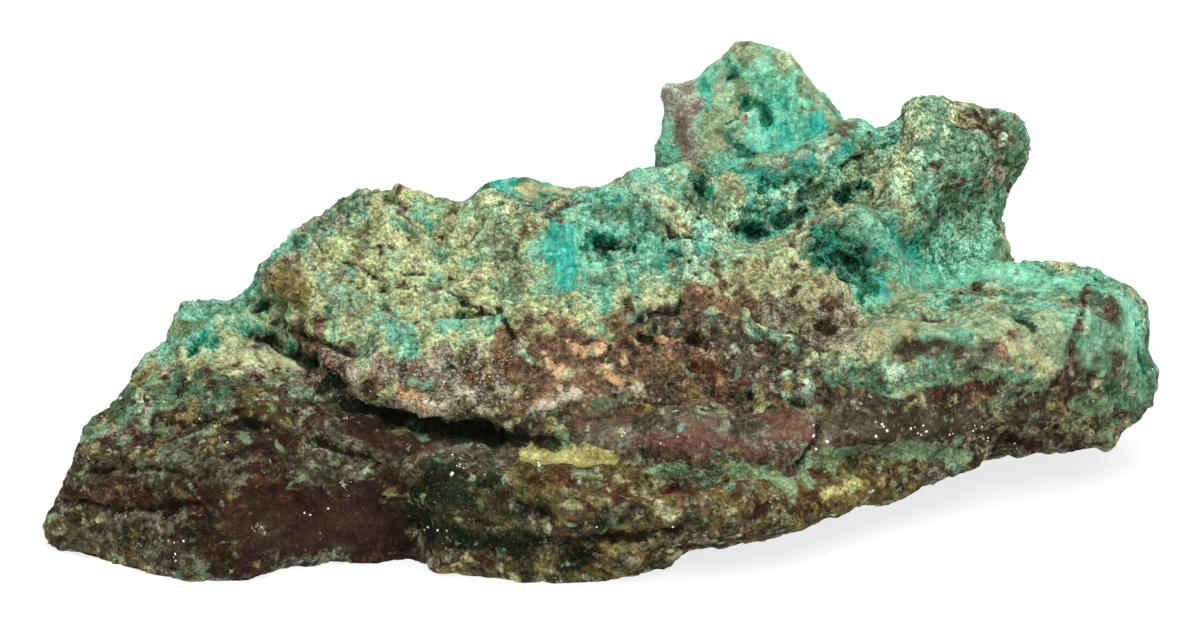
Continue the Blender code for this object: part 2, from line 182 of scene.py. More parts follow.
MINT = {
    "pale knob": (1.2, (790, 345), (808, 362)),
    "pale knob low": (1.0, (785, 378), (800, 385)),
    "nodules": (0.2, (845, 365), (880, 360), (905, 372)),
    "peak crust": (0.0, (918, 150), (926, 162)),
    "crest speckle": (0.8, (645, 180), (665, 205)),
    "saddle speckle": (0.7, (690, 225), (720, 250)),
    "left spot": (0.2, (132, 402), (142, 408)),
    "far left spot": (0.3, (75, 438)),
    "toe": (0.8, (372, 362), (380, 380)),
    "band": (0.0, (345, 368), (400, 380), (450, 385)),
    "mass patch": (1.6, (335, 285), (348, 300)),
    "saddle slab": (0.5, (745, 165), (800, 155), (850, 138)),
    "valley bridge": (0.3, (727, 172), (734, 205), (728, 240)),
    "valley bridge low": (0.2, (742, 200), (780, 200), (812, 194)),
    "valley edge": (0.5, (690, 250), (720, 258), (750, 250)),
    "crest foot": (0.6, (658, 276), (680, 280), (700, 288)),
    "lobe crust": (0.4, (940, 305), (960, 320)),
    "shoulder": (0.8, (212, 357)),
}
MAUVE = {
    "mass band left": (1.8, (320, 365), (350, 385)),
    "mass band": (2.2, (400, 375), (450, 372), (500, 362)),
    "mass band low": (1.6, (410, 392), (470, 395), (515, 400)),
    "lobe left": (1.2, (845, 330), (835, 360)),
    "shoulder patch": (0.7, (240, 368), (252, 376)),
    "spur side": (1.8, (770, 322), (800, 330), (840, 322)),
    "left flank": (1.0, (285, 262), (268, 280)),
    "left flank top": (0.9, (300, 232), (318, 218)),
}
TAUPE = {
    "peak band": (1.6, (676, 86), (686, 110), (690, 145)),
    "peak band top": (0.8, (664, 92), (672, 110)),
    "spur streak": (0.5, (800, 232), (840, 210)),
}
# Thin brown seams that cross the crust.
SEAMS = {
    "lobe crack": (0.3, (1086, 284), (1080, 320), (1070, 360), (1062, 400)),
    "lobe crack low": (0.6, (1069, 366), (1062, 405)),
    "mass split": (0.1, (455, 292), (480, 300), (500, 325), (508, 345)),
    "mass stroke": (0.1, (385, 303), (398, 322), (410, 340)),
    "mass left": (0.2, (300, 330), (325, 338), (352, 352)),
    "mass top": (0.05, (352, 232), (360, 255), (376, 277)),
    "crest": (0.05, (545, 222), (565, 205), (590, 192)),
    "crest left": (0.1, (505, 262), (520, 235), (528, 222)),
    "saddle": (0.0, (735, 168), (800, 152), (868, 135)),
    "saddle two": (0.0, (760, 160), (820, 140), (880, 118)),
    "slot side": (0.15, (642, 198), (655, 215), (662, 238)),
    "valley": (0.0, (700, 255), (740, 262), (775, 250), (800, 232)),
    "valley left": (0.1, (715, 262), (722, 285), (735, 300)),
    "spur": (0.0, (765, 262), (815, 228), (868, 188)),
    "lobe": (0.0, (925, 300), (950, 280), (975, 268)),
    "knob": (0.25, (403, 190), (405, 198)),
    "far peak": (0.1, (925, 160), (955, 178), (995, 182)),
}
RUST = {
    "rust field": (3.6, (535, 355), (575, 355), (600, 380)),
    "rust middle": (3.0, (620, 350), (660, 370), (700, 385)),
    "rust top": (1.6, (675, 315), (700, 300), (735, 300)),
    "rust left": (2.0, (500, 375), (525, 395)),
    "crest spots": (1.0, (560, 325), (575, 335)),
    "spur crack": (0.3, (828, 290), (834, 312)),
    "lobe spot": (0.7, (1014, 352), (1036, 362)),
    "mass side": (0.4, (300, 320), (325, 338), (350, 352)),
    "mass band left": (0.6, (316, 354), (345, 374), (372, 392)),
    "left strip": (0.9, (70, 485), (110, 490), (150, 492)),
    "left crack side": (1.2, (312, 340), (330, 345)),
}
ORANGE = {
    "vein one": (0.3, (598, 325), (612, 345), (625, 368)),
    "vein two": (0.25, (598, 355), (605, 372), (622, 385)),
    "vein three": (0.3, (560, 318), (580, 325)),
    "vein four": (0.2, (640, 345), (660, 335), (672, 342)),
    "vein five": (0.2, (640, 390), (680, 382), (715, 378)),
    "vein six": (0.2, (545, 355), (560, 368), (556, 380)),
    "vein seven": (0.2, (575, 345), (590, 352)),
    "rim": (0.6, (402, 395), (425, 405), (440, 415)),
    "rim right": (0.5, (585, 352), (600, 345)),
    "knob low": (0.5, (700, 345), (708, 360)),
    "mid spots": (0.5, (700, 375), (720, 380)),
}
EMBER = {
    "face band": (0.3, (200, 482), (250, 476), (300, 480)),
    "face spot": (0.6, (250, 484), (262, 481)),
    "face spot two": (0.3, (210, 463), (216, 472)),
    "face spot three": (0.2, (330, 490), (342, 487)),
    "face run": (0.0, (228, 505), (255, 498), (300, 500)),
    "face low": (0.0, (235, 470), (300, 466)),
    "strip": (0.25, (62, 488), (100, 490), (150, 490)),
    "strip low": (0.1, (70, 500), (110, 505)),
    "roll spots": (0.8, (595, 480), (615, 490), (640, 500)),
    "roll spots two": (0.7, (665, 490), (700, 492)),
    "roll spots three": (0.6, (560, 480), (580, 486)),
    "roll right": (0.6, (800, 485), (830, 505)),
    "roll right two": (0.6, (880, 470), (905, 465)),
    "rust heart": (0.6, (690, 365), (725, 372)),
    "lobe": (0.3, (940, 390), (965, 392)),
    "lobe two": (0.4, (985, 392), (1005, 398)),
}
BEDS = {
    "top": (0.5, (75, 447), (130, 440), (180, 446)),
    "upper": (0.7, (70, 462), (130, 458), (200, 466), (290, 460)),
    "middle": (0.6, (68, 474), (120, 470), (180, 476), (230, 480)),
    "foot": (0.8, (70, 515), (110, 535), (160, 550)),
    "foot right": (0.6, (170, 560), (250, 565), (340, 560)),
    "tread": (0.7, (315, 440), (360, 448), (420, 458), (500, 455)),
    "tread top": (0.4, (320, 415), (345, 425)),
    "tread low": (0.6, (300, 470), (350, 475), (410, 480)),
    "lens": (0.5, (640, 425), (700, 420), (770, 425)),
    "lens low": (0.4, (620, 455), (700, 463), (780, 458)),
    "slab": (0.3, (1000, 438), (1060, 436), (1095, 436)),
}
# Near-black painted into the undercut, cracks, hollows and pits: painted shade, not a mineral.
PAINTED_SHADE = {
    "roll left": (3.6, (445, 495), (480, 500), (500, 525)),
    "roll fold": (0.8, (545, 512), (600, 525), (690, 520)),
    "roll left low": (1.6, (430, 530), (470, 545)),
    "undercut": (1.0, (350, 405), (400, 422), (470, 436), (550, 446)),
    "roll hollow": (1.2, (520, 500), (545, 520)),
    "foot hollow": (1.5, (565, 555), (595, 545)),
    "face corner": (0.6, (415, 480), (415, 520)),
    "left crack": (0.6, (262, 336), (318, 362)),
    "undercut left": (0.7, (318, 362), (345, 395)),
    "crest shade": (0.4, (596, 244), (618, 243)),
    "band pits": (0.4, (455, 375), (475, 372), (500, 352)),
    "rust pit": (0.6, (640, 333), (652, 338)),
    "rust pit two": (0.5, (692, 337), (702, 342)),
}
GREY = {
    "lens": (2.4, (560, 415), (640, 428), (720, 430), (800, 430)),
    "lens left": (1.0, (520, 440), (560, 428)),
    "lens low": (1.0, (600, 452), (700, 462), (790, 458)),
    "tread": (0.8, (380, 455), (440, 452), (500, 455)),
    "roll top": (0.8, (590, 480), (700, 478), (780, 480)),
    "spur side": (1.2, (740, 370), (760, 385)),
}
UMBER = {
    "band shade": (1.3, (515, 428), (570, 422), (630, 412)),
    "rust shade": (1.0, (500, 388), (530, 396), (550, 385)),
    "lobe band": (1.8, (830, 410), (900, 408), (980, 405), (1060, 402)),
    "lobe low": (1.0, (880, 432), (950, 434), (1000, 428)),
    "spur side": (1.1, (765, 325), (800, 335), (840, 325)),
    "lobe left": (1.2, (800, 392), (850, 395), (870, 380)),
    "lobe front": (1.3, (910, 350), (950, 348), (985, 355)),
    "far peak top": (1.4, (945, 112), (982, 122), (1002, 140)),
    "far peak side": (0.7, (925, 165), (955, 180), (1000, 175)),
    "rust side": (1.6, (660, 325), (720, 330), (745, 350)),
    "slope": (2.2, (110, 445), (165, 440), (225, 425)),
    "tip": (2.0, (60, 520), (105, 540), (160, 552)),
    "shoulder foot": (1.4, (215, 388), (265, 395), (305, 412)),
    "face right": (1.6, (300, 445), (345, 460), (400, 470)),
    "roll": (1.2, (520, 505), (560, 525), (640, 515)),
    "roll foot": (1.4, (560, 545), (620, 555)),
    "lobe facet": (0.6, (1108, 300), (1104, 340), (1092, 385)),
    "lobe facet streak": (0.6, (1110, 332), (1114, 362)),
    "lobe crack foot": (1.5, (1074, 358), (1070, 385), (1060, 400)),
    "lobe end": (0.9, (1070, 400), (1095, 412), (1120, 420)),
}
PLUM = {
    "lens one": (1.2, (612, 405), (645, 414)),
    "lens small": (0.7, (588, 426), (610, 432)),
    "lens two": (2.0, (650, 446), (690, 435), (716, 440)),
    "lens three": (1.9, (735, 435), (765, 432), (790, 440)),
    "lens edge": (0.6, (690, 405), (705, 412)),
    "rust heart": (1.2, (655, 355), (682, 362)),
    "rust band": (0.9, (700, 395), (730, 405)),
}
BUFF = {
    "rim": (0.8, (402, 395), (430, 408), (470, 412)),
    "shoulder": (1.0, (212, 355), (250, 364), (298, 362)),
    "crest strip": (0.7, (530, 192), (560, 186)),
    "lobe edge": (0.6, (1000, 432), (1050, 428), (1095, 422)),
    "lobe middle": (0.8, (1008, 345), (1038, 362)),
    "lobe nodules": (1.2, (850, 345), (875, 335)),
    "rust veins": (0.2, (545, 340), (600, 330), (640, 345)),
    "rust veins low": (0.1, (560, 375), (600, 372), (650, 385)),
    "rust left": (0.4, (500, 372), (520, 392)),
    "spur foot": (2.7, (745, 285), (770, 300), (810, 285)),
    "cave side": (0.8, (668, 205), (685, 225), (712, 235)),
    "spur crest": (0.4, (755, 250), (830, 218), (885, 175)),
    "far peak rim": (0.1, (900, 158), (906, 112)),
    "far peak crown": (0.2, (925, 122), (950, 114), (985, 126)),
    "vug lip": (0.1, (727, 128), (738, 118), (750, 116), (758, 127)),
    "bridge": (0.3, (728, 172), (734, 200), (730, 235)),
    "peak foot": (0.4, (692, 158), (705, 148), (722, 140)),
    "mass band left": (1.4, (322, 358), (345, 375), (375, 392)),
    "lobe nodules top": (0.4, (850, 325), (880, 320), (910, 330)),
    "saddle knobs": (1.0, (675, 172), (695, 168)),
    "roll": (0.3, (590, 490), (660, 485)),
}
YELLOW = {
    "lens": (1.5, (536, 458), (565, 456), (602, 460)),
    "roll right": (0.4, (822, 494), (845, 490), (858, 480)),
    "foot": (0.3, (452, 566), (468, 560)),
}
BLUE = {
    "peak bowl": (2.2, (765, 142), (795, 130), (828, 115)),
    "peak wall": (1.6, (785, 105), (800, 118)),
    "peak left": (0.2, (712, 85), (718, 105), (710, 130)),
    "crest patch": (1.2, (562, 240), (565, 272)),
    "crest spot": (0.7, (652, 222), (658, 230)),
    "spur face": (1.4, (905, 238), (922, 250)),
    "shoulder": (0.7, (208, 330), (214, 332)),
    "valley": (1.6, (740, 228), (770, 222), (800, 206)),
    "valley low": (1.0, (665, 268), (690, 262)),
    "crest top": (1.0, (605, 200), (625, 215)),
    "saddle": (1.4, (735, 170), (790, 164), (845, 150)),
    "back lobe": (1.6, (480, 192), (530, 188)),
    "spur cave": (0.8, (872, 262), (885, 285)),
}
QUARTZ = {
    "seam": (0.45, (532, 408), (558, 398), (576, 396)),
    "seam right": (0.2, (580, 398), (612, 390), (640, 387)),
    "seam knob": (0.5, (558, 390), (566, 398)),
    "rust knob": (0.5, (704, 345), (706, 352)),
    "band specks": (0.5, (352, 372), (358, 366)),
    "rim pale": (0.6, (430, 415), (470, 418)),
}
MAROON = {
    "face": (5.0, (200, 500), (250, 520), (330, 525)),
    "face right": (4.0, (330, 500), (385, 520)),
    "face low": (3.0, (180, 545), (300, 548), (390, 545)),
    "face top": (2.0, (240, 430), (285, 440), (260, 460)),
    "left strip": (1.6, (65, 490), (120, 482), (150, 500)),
    "tread": (1.8, (345, 420), (385, 432), (420, 442)),
    "roll one": (1.0, (725, 500), (755, 502)),
    "roll two": (0.9, (605, 540), (632, 546)),
    "slab": (1.2, (1000, 448), (1050, 446), (1092, 446)),
    "lobe band": (0.8, (1062, 385), (1068, 400)),
}
OLIVE = {
    "far peak top": (1.6, (925, 120), (955, 122), (990, 140)),
    "roll": (3.6, (540, 490), (620, 495), (700, 495)),
    "roll right": (3.0, (720, 500), (800, 490), (890, 475)),
    "roll foot": (3.4, (560, 560), (620, 560), (640, 530)),
    "roll left": (3.2, (430, 500), (480, 520), (500, 560)),
    "ridges": (2.0, (70, 465), (140, 460), (200, 465)),
    "mottle": (3.4, (105, 425), (150, 400), (200, 405)),
    "mottle low": (2.0, (190, 440), (230, 420), (300, 425)),
    "lens right": (2.0, (800, 450), (850, 455), (930, 450)),
    "lobe edge": (1.2, (1000, 432), (1060, 428), (1100, 420)),
    "toe": (2.0, (60, 520), (100, 540), (150, 555)),
}
OCHRE = {
    "roll yellow": (0.9, (825, 492), (848, 488), (862, 478)),
    "roll yellow right": (0.6, (890, 468), (925, 462)),
    "roll left": (1.3, (535, 480), (560, 500)),
    "roll middle": (1.2, (600, 500), (625, 510)),
    "roll foot": (0.4, (600, 548), (655, 540)),
    "foot": (1.6, (448, 560), (472, 552)),
    "mass knobs": (0.9, (275, 290), (300, 285)),
}
# Dark emerald painted into caves, pits and the lobe's far facet: painted shade with the green of
# light bounced inside them. The relief also makes these caves rough.
CAVE_SHADE = {
    "spur cave": (2.1, (824, 250), (848, 264), (866, 286)),
    "vug": (0.45, (763, 108), (766, 121)),
    "vug arm": (0.3, (743, 110), (757, 105), (765, 107)),
    "valley cave": (0.5, (762, 188), (780, 180), (806, 185)),
    "valley cave low": (0.5, (732, 232), (762, 230), (798, 214)),
    "round hole": (1.1, (702, 182), (704, 192)),
    "seam caves": (0.4, (840, 195), (870, 180)),
    "peak cave": (0.25, (728, 136), (738, 146), (752, 154)),
    "left cave": (0.9, (258, 308)),
    "lobe facet": (0.2, (1138, 325), (1148, 380)),
    "slot": (0.9, (594, 244), (618, 244)),
    "face pit": (0.6, (730, 76)),
    "shoulder dark": (1.0, (195, 340), (205, 345)),
}
VEINS = {
    "lens spot": (0.5, (556, 428), (562, 436)),
    "face fall": (0.1, (158, 415), (165, 435), (160, 455)),
    "face run": (0.2, (236, 438), (262, 440), (285, 462), (290, 475)),
    "face run left": (0.05, (180, 440), (205, 430), (236, 436)),
    "tread": (0.15, (410, 430), (432, 436)),
    "tread low": (0.2, (440, 458), (470, 456)),
    "face low": (0.3, (185, 574), (215, 576), (235, 578)),
    "mottle": (0.2, (150, 385), (165, 405), (180, 400)),
    "mottle right": (0.2, (225, 370), (260, 385), (290, 375)),
    "slope": (0.1, (95, 430), (120, 440), (150, 425)),
    "roll seam": (0.75, (590, 471), (640, 468), (700, 470), (770, 470)),
    "roll seam right": (0.6, (805, 462), (850, 450), (900, 448), (960, 458)),
    "roll fall": (0.5, (775, 475), (785, 485)),
    "slab end": (0.9, (1100, 436), (1106, 446)),
    "shoulder": (0.7, (172, 335), (195, 325), (212, 335)),
    "lobe facet low": (1.0, (1085, 400), (1110, 415)),
    "rust edge": (0.35, (600, 397), (625, 394)),
    "face bed": (0.35, (290, 440), (300, 465), (330, 468)),
    "tip": (0.4, (47, 508), (52, 515)),
    "lobe spots": (0.8, (1005, 392), (1040, 385)),
    "lobe spots two": (0.8, (1078, 395), (1092, 408)),
    "lobe spots three": (0.5, (960, 378), (985, 380)),
}
# Cracks and holes: reach, depth and the dots of the middle line. The material paints them near
# black as painted shade inside them.
CUTS = {
    "band crack": (0.15, 0.5, (440, 378), (468, 373), (500, 360)),
    "band crack low": (0.12, 0.4, (395, 372), (412, 380)),
    "face split": (0.1, 0.3, (290, 470), (296, 500), (288, 540)),
    "face split right": (0.1, 0.3, (386, 498), (376, 520), (380, 545)),
    "face split left": (0.1, 0.25, (212, 500), (228, 520), (222, 550)),
    "undercut": (0.7, 0.5, (346, 402), (395, 416), (450, 427), (510, 438), (555, 444)),
    "left crack": (0.4, 0.6, (256, 333), (285, 350), (318, 362)),
    "mass crack": (0.2, 0.5, (342, 260), (358, 266), (374, 277)),
    "mass hole": (0.4, 1.2, (382, 290), (388, 291)),
    "mass cut": (0.3, 0.5, (450, 292), (475, 303), (492, 312)),
    "mass cut low": (0.3, 0.5, (460, 313), (478, 309), (495, 313)),
    "mass cut right": (0.3, 0.5, (500, 305), (505, 325), (512, 335)),
    "mass cut top": (0.25, 0.4, (405, 275), (415, 272)),
    "mass left cut": (0.4, 0.7, (300, 335), (325, 340), (352, 355)),
    "slot": (0.25, 0.6, (594, 243), (608, 245), (620, 242)),
    "slot tail": (0.2, 0.5, (604, 234), (594, 241)),
    "crest cut three": (0.15, 0.4, (628, 215), (636, 240), (632, 262)),
    "crest cut four": (0.15, 0.4, (668, 250), (690, 262), (700, 280)),
    "crest cut": (0.3, 0.6, (665, 222), (672, 236), (690, 240)),
    "crest cut two": (0.3, 0.5, (545, 218), (560, 208), (580, 200)),
    "rust pit": (0.6, 0.9, (643, 335), (650, 336)),
    "rust pit two": (0.5, 0.8, (696, 340), (702, 343)),
    "roll slot": (0.5, 0.4, (520, 498), (540, 515)),
    "roll slot right": (0.5, 0.6, (600, 540), (640, 536), (680, 532)),
    "tread crack": (0.35, 0.6, (312, 438), (345, 450), (378, 462)),
    "lobe hole": (0.5, 0.8, (793, 398), (803, 400)),
    "edge hole": (0.45, 0.9, (1097, 276), (1104, 279)),
    "rust crack": (0.3, 0.5, (680, 300), (672, 312), (640, 318)),
    "saddle crack": (0.2, 0.4, (840, 170), (875, 152), (895, 143)),
    "lens crack": (0.35, 0.6, (820, 425), (810, 450), (800, 465)),
    "peak pit": (0.3, 0.5, (728, 78), (733, 73)),
    "peak pit three": (0.3, 0.5, (727, 122), (736, 118)),
    "round hole": (0.7, 0.8, (703, 182), (705, 190)),
    "valley cave left": (0.2, 0.5, (698, 218), (702, 212)),
    "lobe dimple": (0.5, 0.5, (1018, 318), (1034, 325)),
    "left cave": (0.6, 0.6, (255, 308), (262, 308)),
    "lobe crack": (0.15, 0.35, (1086, 284), (1080, 320), (1070, 360), (1062, 400)),
    "face cut": (0.3, 0.5, (195, 420), (250, 425), (290, 432)),
    "face cut two": (0.25, 0.3, (95, 470), (150, 468), (205, 475)),
    "face step": (0.3, 0.35, (60, 500), (120, 508), (200, 502)),
}
# Dents that keep their colour: reach, depth and the dots of the middle line.
DENTS = {
    "vug": (0.45, 0.8, (763, 108), (766, 121)),
    "vug arm": (0.3, 0.6, (743, 110), (757, 105), (765, 107)),
    "valley cave": (0.4, 0.5, (762, 188), (780, 180), (806, 184)),
    "valley cave low": (0.45, 0.5, (730, 230), (762, 228), (800, 212)),
    "valley cave step": (0.3, 0.4, (740, 212), (775, 216)),
    "saddle caves": (0.3, 0.25, (812, 208), (835, 194), (862, 184)),
    "saddle caves right": (0.25, 0.4, (866, 152), (892, 138)),
    "bowl corner": (0.15, 0.4, (726, 134), (738, 146), (752, 154)),
    "spur cave": (0.5, 0.5, (822, 250), (848, 262), (868, 286)),
}
# Places where the surface is nearly plain.
CALM = {
    "peak": (6.5, (700, 110), (730, 60), (780, 100)),
    "bowl": (4.0, (770, 140), (820, 125)),
    "back lobe": (4.0, (480, 190), (530, 190)),
    "lens": (2.6, (580, 425), (700, 430), (820, 430), (960, 425)),
    "face": (3.6, (250, 520), (300, 525), (390, 520)),
    "saddle": (1.6, (735, 160), (800, 152), (870, 125)),
    "crest patch": (2.4, (562, 240), (565, 270)),
    "lobe": (4.0, (900, 330), (1000, 330), (1120, 350)),
    "lobe top": (3.0, (880, 292), (970, 275), (1080, 285)),
    "lobe right": (2.6, (1130, 320), (1150, 370), (1140, 410)),
    "peak left": (2.5, (650, 145), (665, 125)),
    "shoulder": (2.0, (215, 355), (295, 365)),
    "roll": (1.4, (540, 490), (700, 495), (860, 480)),
    "roll left": (2.2, (440, 495), (500, 515)),
    "tread": (1.6, (345, 425), (420, 442), (500, 455)),
    "yellow": (1.6, (536, 458), (602, 460)),
    "mottle": (0.6, (105, 420), (200, 410)),
    "crest strip": (1.0, (505, 200), (585, 186)),
    "far peak": (5.0, (930, 130), (950, 220)),
    "rust": (3.0, (540, 360), (600, 385)),
}
# Even places that keep their fine grain, and that are painted lighter: painted light against the
# shade of the valley.
CRISP_AND_LIT = {
    "valley": (1.6, (700, 230), (745, 222), (790, 195), (850, 185)),
    "far peak": (5.0, (930, 130), (950, 220)),
    "crest strip": (1.4, (505, 200), (585, 186)),
}
# Hollows to fill again in part: reach, share and the dots of the middle line.
FILLS = {
    "peak face": (2.8, 0.97, (728, 85), (748, 97), (760, 112)),
    "peak foot": (1.8, 0.85, (735, 150), (755, 142)),
    "peak bowl": (2.0, 0.6, (790, 150), (820, 140)),
    "valley": (2.2, 0.85, (765, 188), (800, 188)),
    "valley left": (1.4, 0.3, (703, 186), (704, 192)),
    "valley low": (3.2, 0.85, (735, 222), (760, 230), (800, 210)),
    "spur cave": (2.4, 0.6, (830, 262), (850, 272), (866, 292)),
    "saddle": (2.4, 0.95, (840, 185), (870, 165), (890, 150)),
    "saddle slab": (2.2, 0.9, (755, 162), (810, 150), (860, 128)),
    "notch": (1.6, 0.85, (258, 326), (272, 332)),
    "left cave": (1.2, 0.7, (256, 308), (262, 308)),
    "slot": (2.2, 1.0, (592, 240), (606, 240), (622, 240)),
    "mass seam": (1.6, 1.0, (455, 312), (490, 314)),
    "mass valley": (2.8, 0.85, (497, 235), (500, 265), (503, 305)),
    "mass top": (2.6, 0.7, (425, 225), (442, 245), (465, 225)),
    "roll": (1.6, 0.7, (505, 500), (525, 525)),
    "foot": (1.8, 0.7, (575, 550), (600, 545)),
    "rust": (1.2, 0.6, (640, 335), (652, 338), (700, 342)),
}
FILL_ROUNDS = 90
# Small quartz chips: width in millimetres, how many, and the dots of the middle line.
GLINTS = {
    "tread": (0.2, 6, (442, 458), (470, 470), (500, 462)),
    "tread big": (0.42, 1, (452, 474)),
    "yellow end": (0.4, 2, (540, 466)),
    "lens": (0.24, 4, (622, 437), (655, 440), (690, 440)),
    "lens crack": (0.32, 4, (812, 424), (815, 450)),
    "lobe seam": (0.26, 11, (866, 434), (890, 430), (932, 430)),
    "lobe seam right": (0.22, 9, (945, 438), (975, 424), (988, 440)),
    "face": (0.22, 3, (280, 497), (307, 517), (338, 505)),
    "face low": (0.22, 6, (165, 551), (180, 545), (172, 556)),
    "corner": (0.28, 4, (395, 528), (412, 526), (452, 529)),
    "band": (0.2, 8, (405, 372), (450, 385), (505, 370)),
    "mottle": (0.24, 5, (125, 400), (200, 400), (292, 408)),
    "slab": (0.2, 4, (1010, 448), (1080, 444)),
}
# How far chips stray from their line, in dots of the view, and shares of the width given.
GLINT_SPREAD = 3.5
GLINT_SIZES = (0.6, 1.2)
# Chips that lie anywhere on the stone, most of them out of this view, and their widths.
LOOSE_GLINTS = 60
LOOSE_WIDTHS = (0.12, 0.26)
GLINT_SEED = 77
CHIP_SHAPE = (1.0, 0.8, 0.65)
CHIP_EDGE = 0.18
# Swellings: reach, height and the dots of the middle line.
SWELLS = {
    "vug lip": (0.4, 0.5, (727, 128), (738, 118), (750, 116), (758, 127)),
    "spur rim": (0.7, 0.5, (815, 262), (830, 285), (850, 292)),
    "mass brow": (0.8, 0.5, (345, 395), (380, 400), (420, 410)),
    "pale knob": (1.1, 0.6, (790, 348), (806, 362)),
    "pale knob low": (0.8, 0.5, (787, 380), (798, 384)),
    "quartz": (0.7, 0.4, (540, 404), (572, 396)),
    "toe": (0.8, 0.5, (374, 365), (380, 385)),
    "knob": (0.5, 0.8, (402, 192), (404, 198)),
    "saddle knobs": (0.6, 0.5, (678, 170), (690, 168)),
    "mass knobs": (1.2, 0.5, (272, 285), (300, 285)),
    "slab end": (0.6, 0.4, (1103, 438), (1108, 446)),
}
# Level of a mineral where there is none of it.
ABSENT = -3.0
# Each mineral's patches, the warped places they are laid on, how far they fill and stray, and
# the strength, direction, size and seed of the noise that tears their edges.
SPREAD = {
    "grey": (GREY, "warped", 1.2, -2.6, 2.0, "lying", 3.0, 97),
    "umber": (UMBER, "warped", 1.1, -2.4, 2.4, "lying", 3.0, 98),
    "olive": (OLIVE, "warped", 1.4, -3.0, 2.6, "lying", 3.2, 81),
    "lime": (LIME, "warped", 1.2, -2.4, 2.4, "base", 3.0, 182),
    "turquoise": (TURQUOISE, "warped", 1.4, -2.2, 2.4, "falling", 3.0, 83),
    "blue": (BLUE, "warped", 0.9, -2.0, 2.2, "falling", 2.6, 103),
    "moss": (MOSS, "warped", 1.0, -2.2, 2.4, "falling", 3.0, 93),
    "sage": (SAGE, "warped", 0.9, -2.2, 2.4, "falling", 3.0, 108),
    "mint": (MINT, "thin", 0.6, -1.8, 2.2, "falling", 2.2, 84),
    "buff": (BUFF, "thin", 0.6, -2.0, 2.4, "base", 2.4, 104),
    "mauve": (MAUVE, "warped", 0.7, -2.1, 2.6, "base", 2.8, 85),
    "rust": (RUST, "warped", 0.7, -2.2, 2.8, "base", 2.6, 86),
    "maroon": (MAROON, "warped", 1.3, -2.3, 2.4, "lying", 3.6, 87),
    "taupe": (TAUPE, "warped", 1.2, -2.0, 0.8, "base", 2.0, 107),
    "seams": (SEAMS, "thin", 0.6, -1.8, 0.7, "base", 1.4, 109),
    "plum": (PLUM, "warped", 0.8, -2.0, 2.0, "lying", 2.6, 105),
    "orange": (ORANGE, "thin", 0.4, -1.6, 0.9, "base", 1.5, 88),
    "ochre": (OCHRE, "warped", 0.6, -2.2, 2.2, "lying", 2.6, 89),
    "ember": (EMBER, "thin", 0.3, -1.8, 1.6, "lying", 1.8, 94),
    "beds": (BEDS, "thin", 0.5, -1.7, 2.0, "lying", 2.0, 95),
    "gloom": (PAINTED_SHADE, "warped", 0.8, -2.2, 1.8, "lying", 2.4, 96),
    "yellow": (YELLOW, "thin", 1.4, -2.0, 0.5, "lying", 1.8, 106),
    "veins": (VEINS, "thin", 0.2, -1.8, 1.9, "lying", 1.6, 90),
    "quartz": (QUARTZ, "thin", 0.5, -2.0, 1.0, "base", 1.4, 91),
    "deep": (CAVE_SHADE, "thin", 0.7, -1.8, 1.6, "base", 2.0, 92),
}
# Patches by chance on the hidden sides, then stray spots among the drawn patches: size, seed
# and bar of their noise, and where they lie. Few strays are brown in the teal crust.
HIDDEN = (
    ("lime", 11.0, 31, 0.05, "high"), ("turquoise", 9.0, 37, 0.08, "high"),
    ("moss", 8.0, 39, 0.1, "high"), ("mint", 4.0, 41, 0.5, "high"),
    ("mauve", 7.0, 43, 0.35, "all"), ("rust", 8.0, 47, 0.3, "all"),
    ("maroon", 10.0, 53, 0.0, "low"), ("olive", 9.0, 59, 0.0, "low"),
    ("ochre", 6.0, 61, 0.45, "low"), ("deep", 5.0, 67, 0.6, "high"),
    ("veins", 4.0, 71, 0.6, "low"),
)
STRAYS = (
    ("lime", 3.2, 131, 0.45, "high"), ("turquoise", 3.0, 137, 0.6, "high"),
    ("moss", 2.6, 139, 0.6, "high"), ("mint", 2.0, 141, 0.6, "high"),
    ("buff", 2.2, 143, 0.5, "earthy"), ("rust", 2.0, 147, 0.75, "earthy"),
    ("umber", 2.4, 151, 0.65, "earthy"), ("mauve", 2.2, 155, 0.7, "earthy"),
    ("ochre", 2.4, 153, 0.6, "low"), ("ember", 1.8, 157, 0.65, "low"),
    ("beds", 2.2, 159, 0.55, "low"), ("veins", 1.8, 161, 0.75, "low"),
)
# Where the green mantle gives way to the dark rock, by place along X.
GREEN_EDGE_X = (-55.0, -44.0, -33.0, -20.0, -8.0, 3.0, 12.0, 22.0, 34.0, 46.0, 55.0)
GREEN_EDGE_Z = (11.0, 15.0, 18.0, 16.0, 17.5, 20.0, 20.0, 15.5, 13.5, 10.0, 7.0)
# Height of each kind of relief on bare rock, in millimetres.
ROCK_RELIEF = {
    "swell": 0.12, "rough": 0.16, "fine": 0.12, "rocky": 0.25,
    "broken": 0.3, "chipped": 0.2, "nicked": 0.14,
}
BED_RELIEF = 0.75
# Sizes of the waves that warp the places, in millimetres.
DRIFT_SIZE = 3.4
RIPPLE_SIZE = 1.2
# Even noises that pick the hues: size and seed.
TINTS = {"tint": (3.6, 101), "cast": (2.4, 102)}
# How hollow the surface is, near and wide: rounds of blurring, and the depth in millimetres
# from a crest to a dip.
# The material paints shade into the hollows and dips.
HOLLOWS = {"hollow": (6, 0.5), "dip": (60, 2.4)}
# Width of the soft edge of the plain places.
CALM_EDGE = 6.0
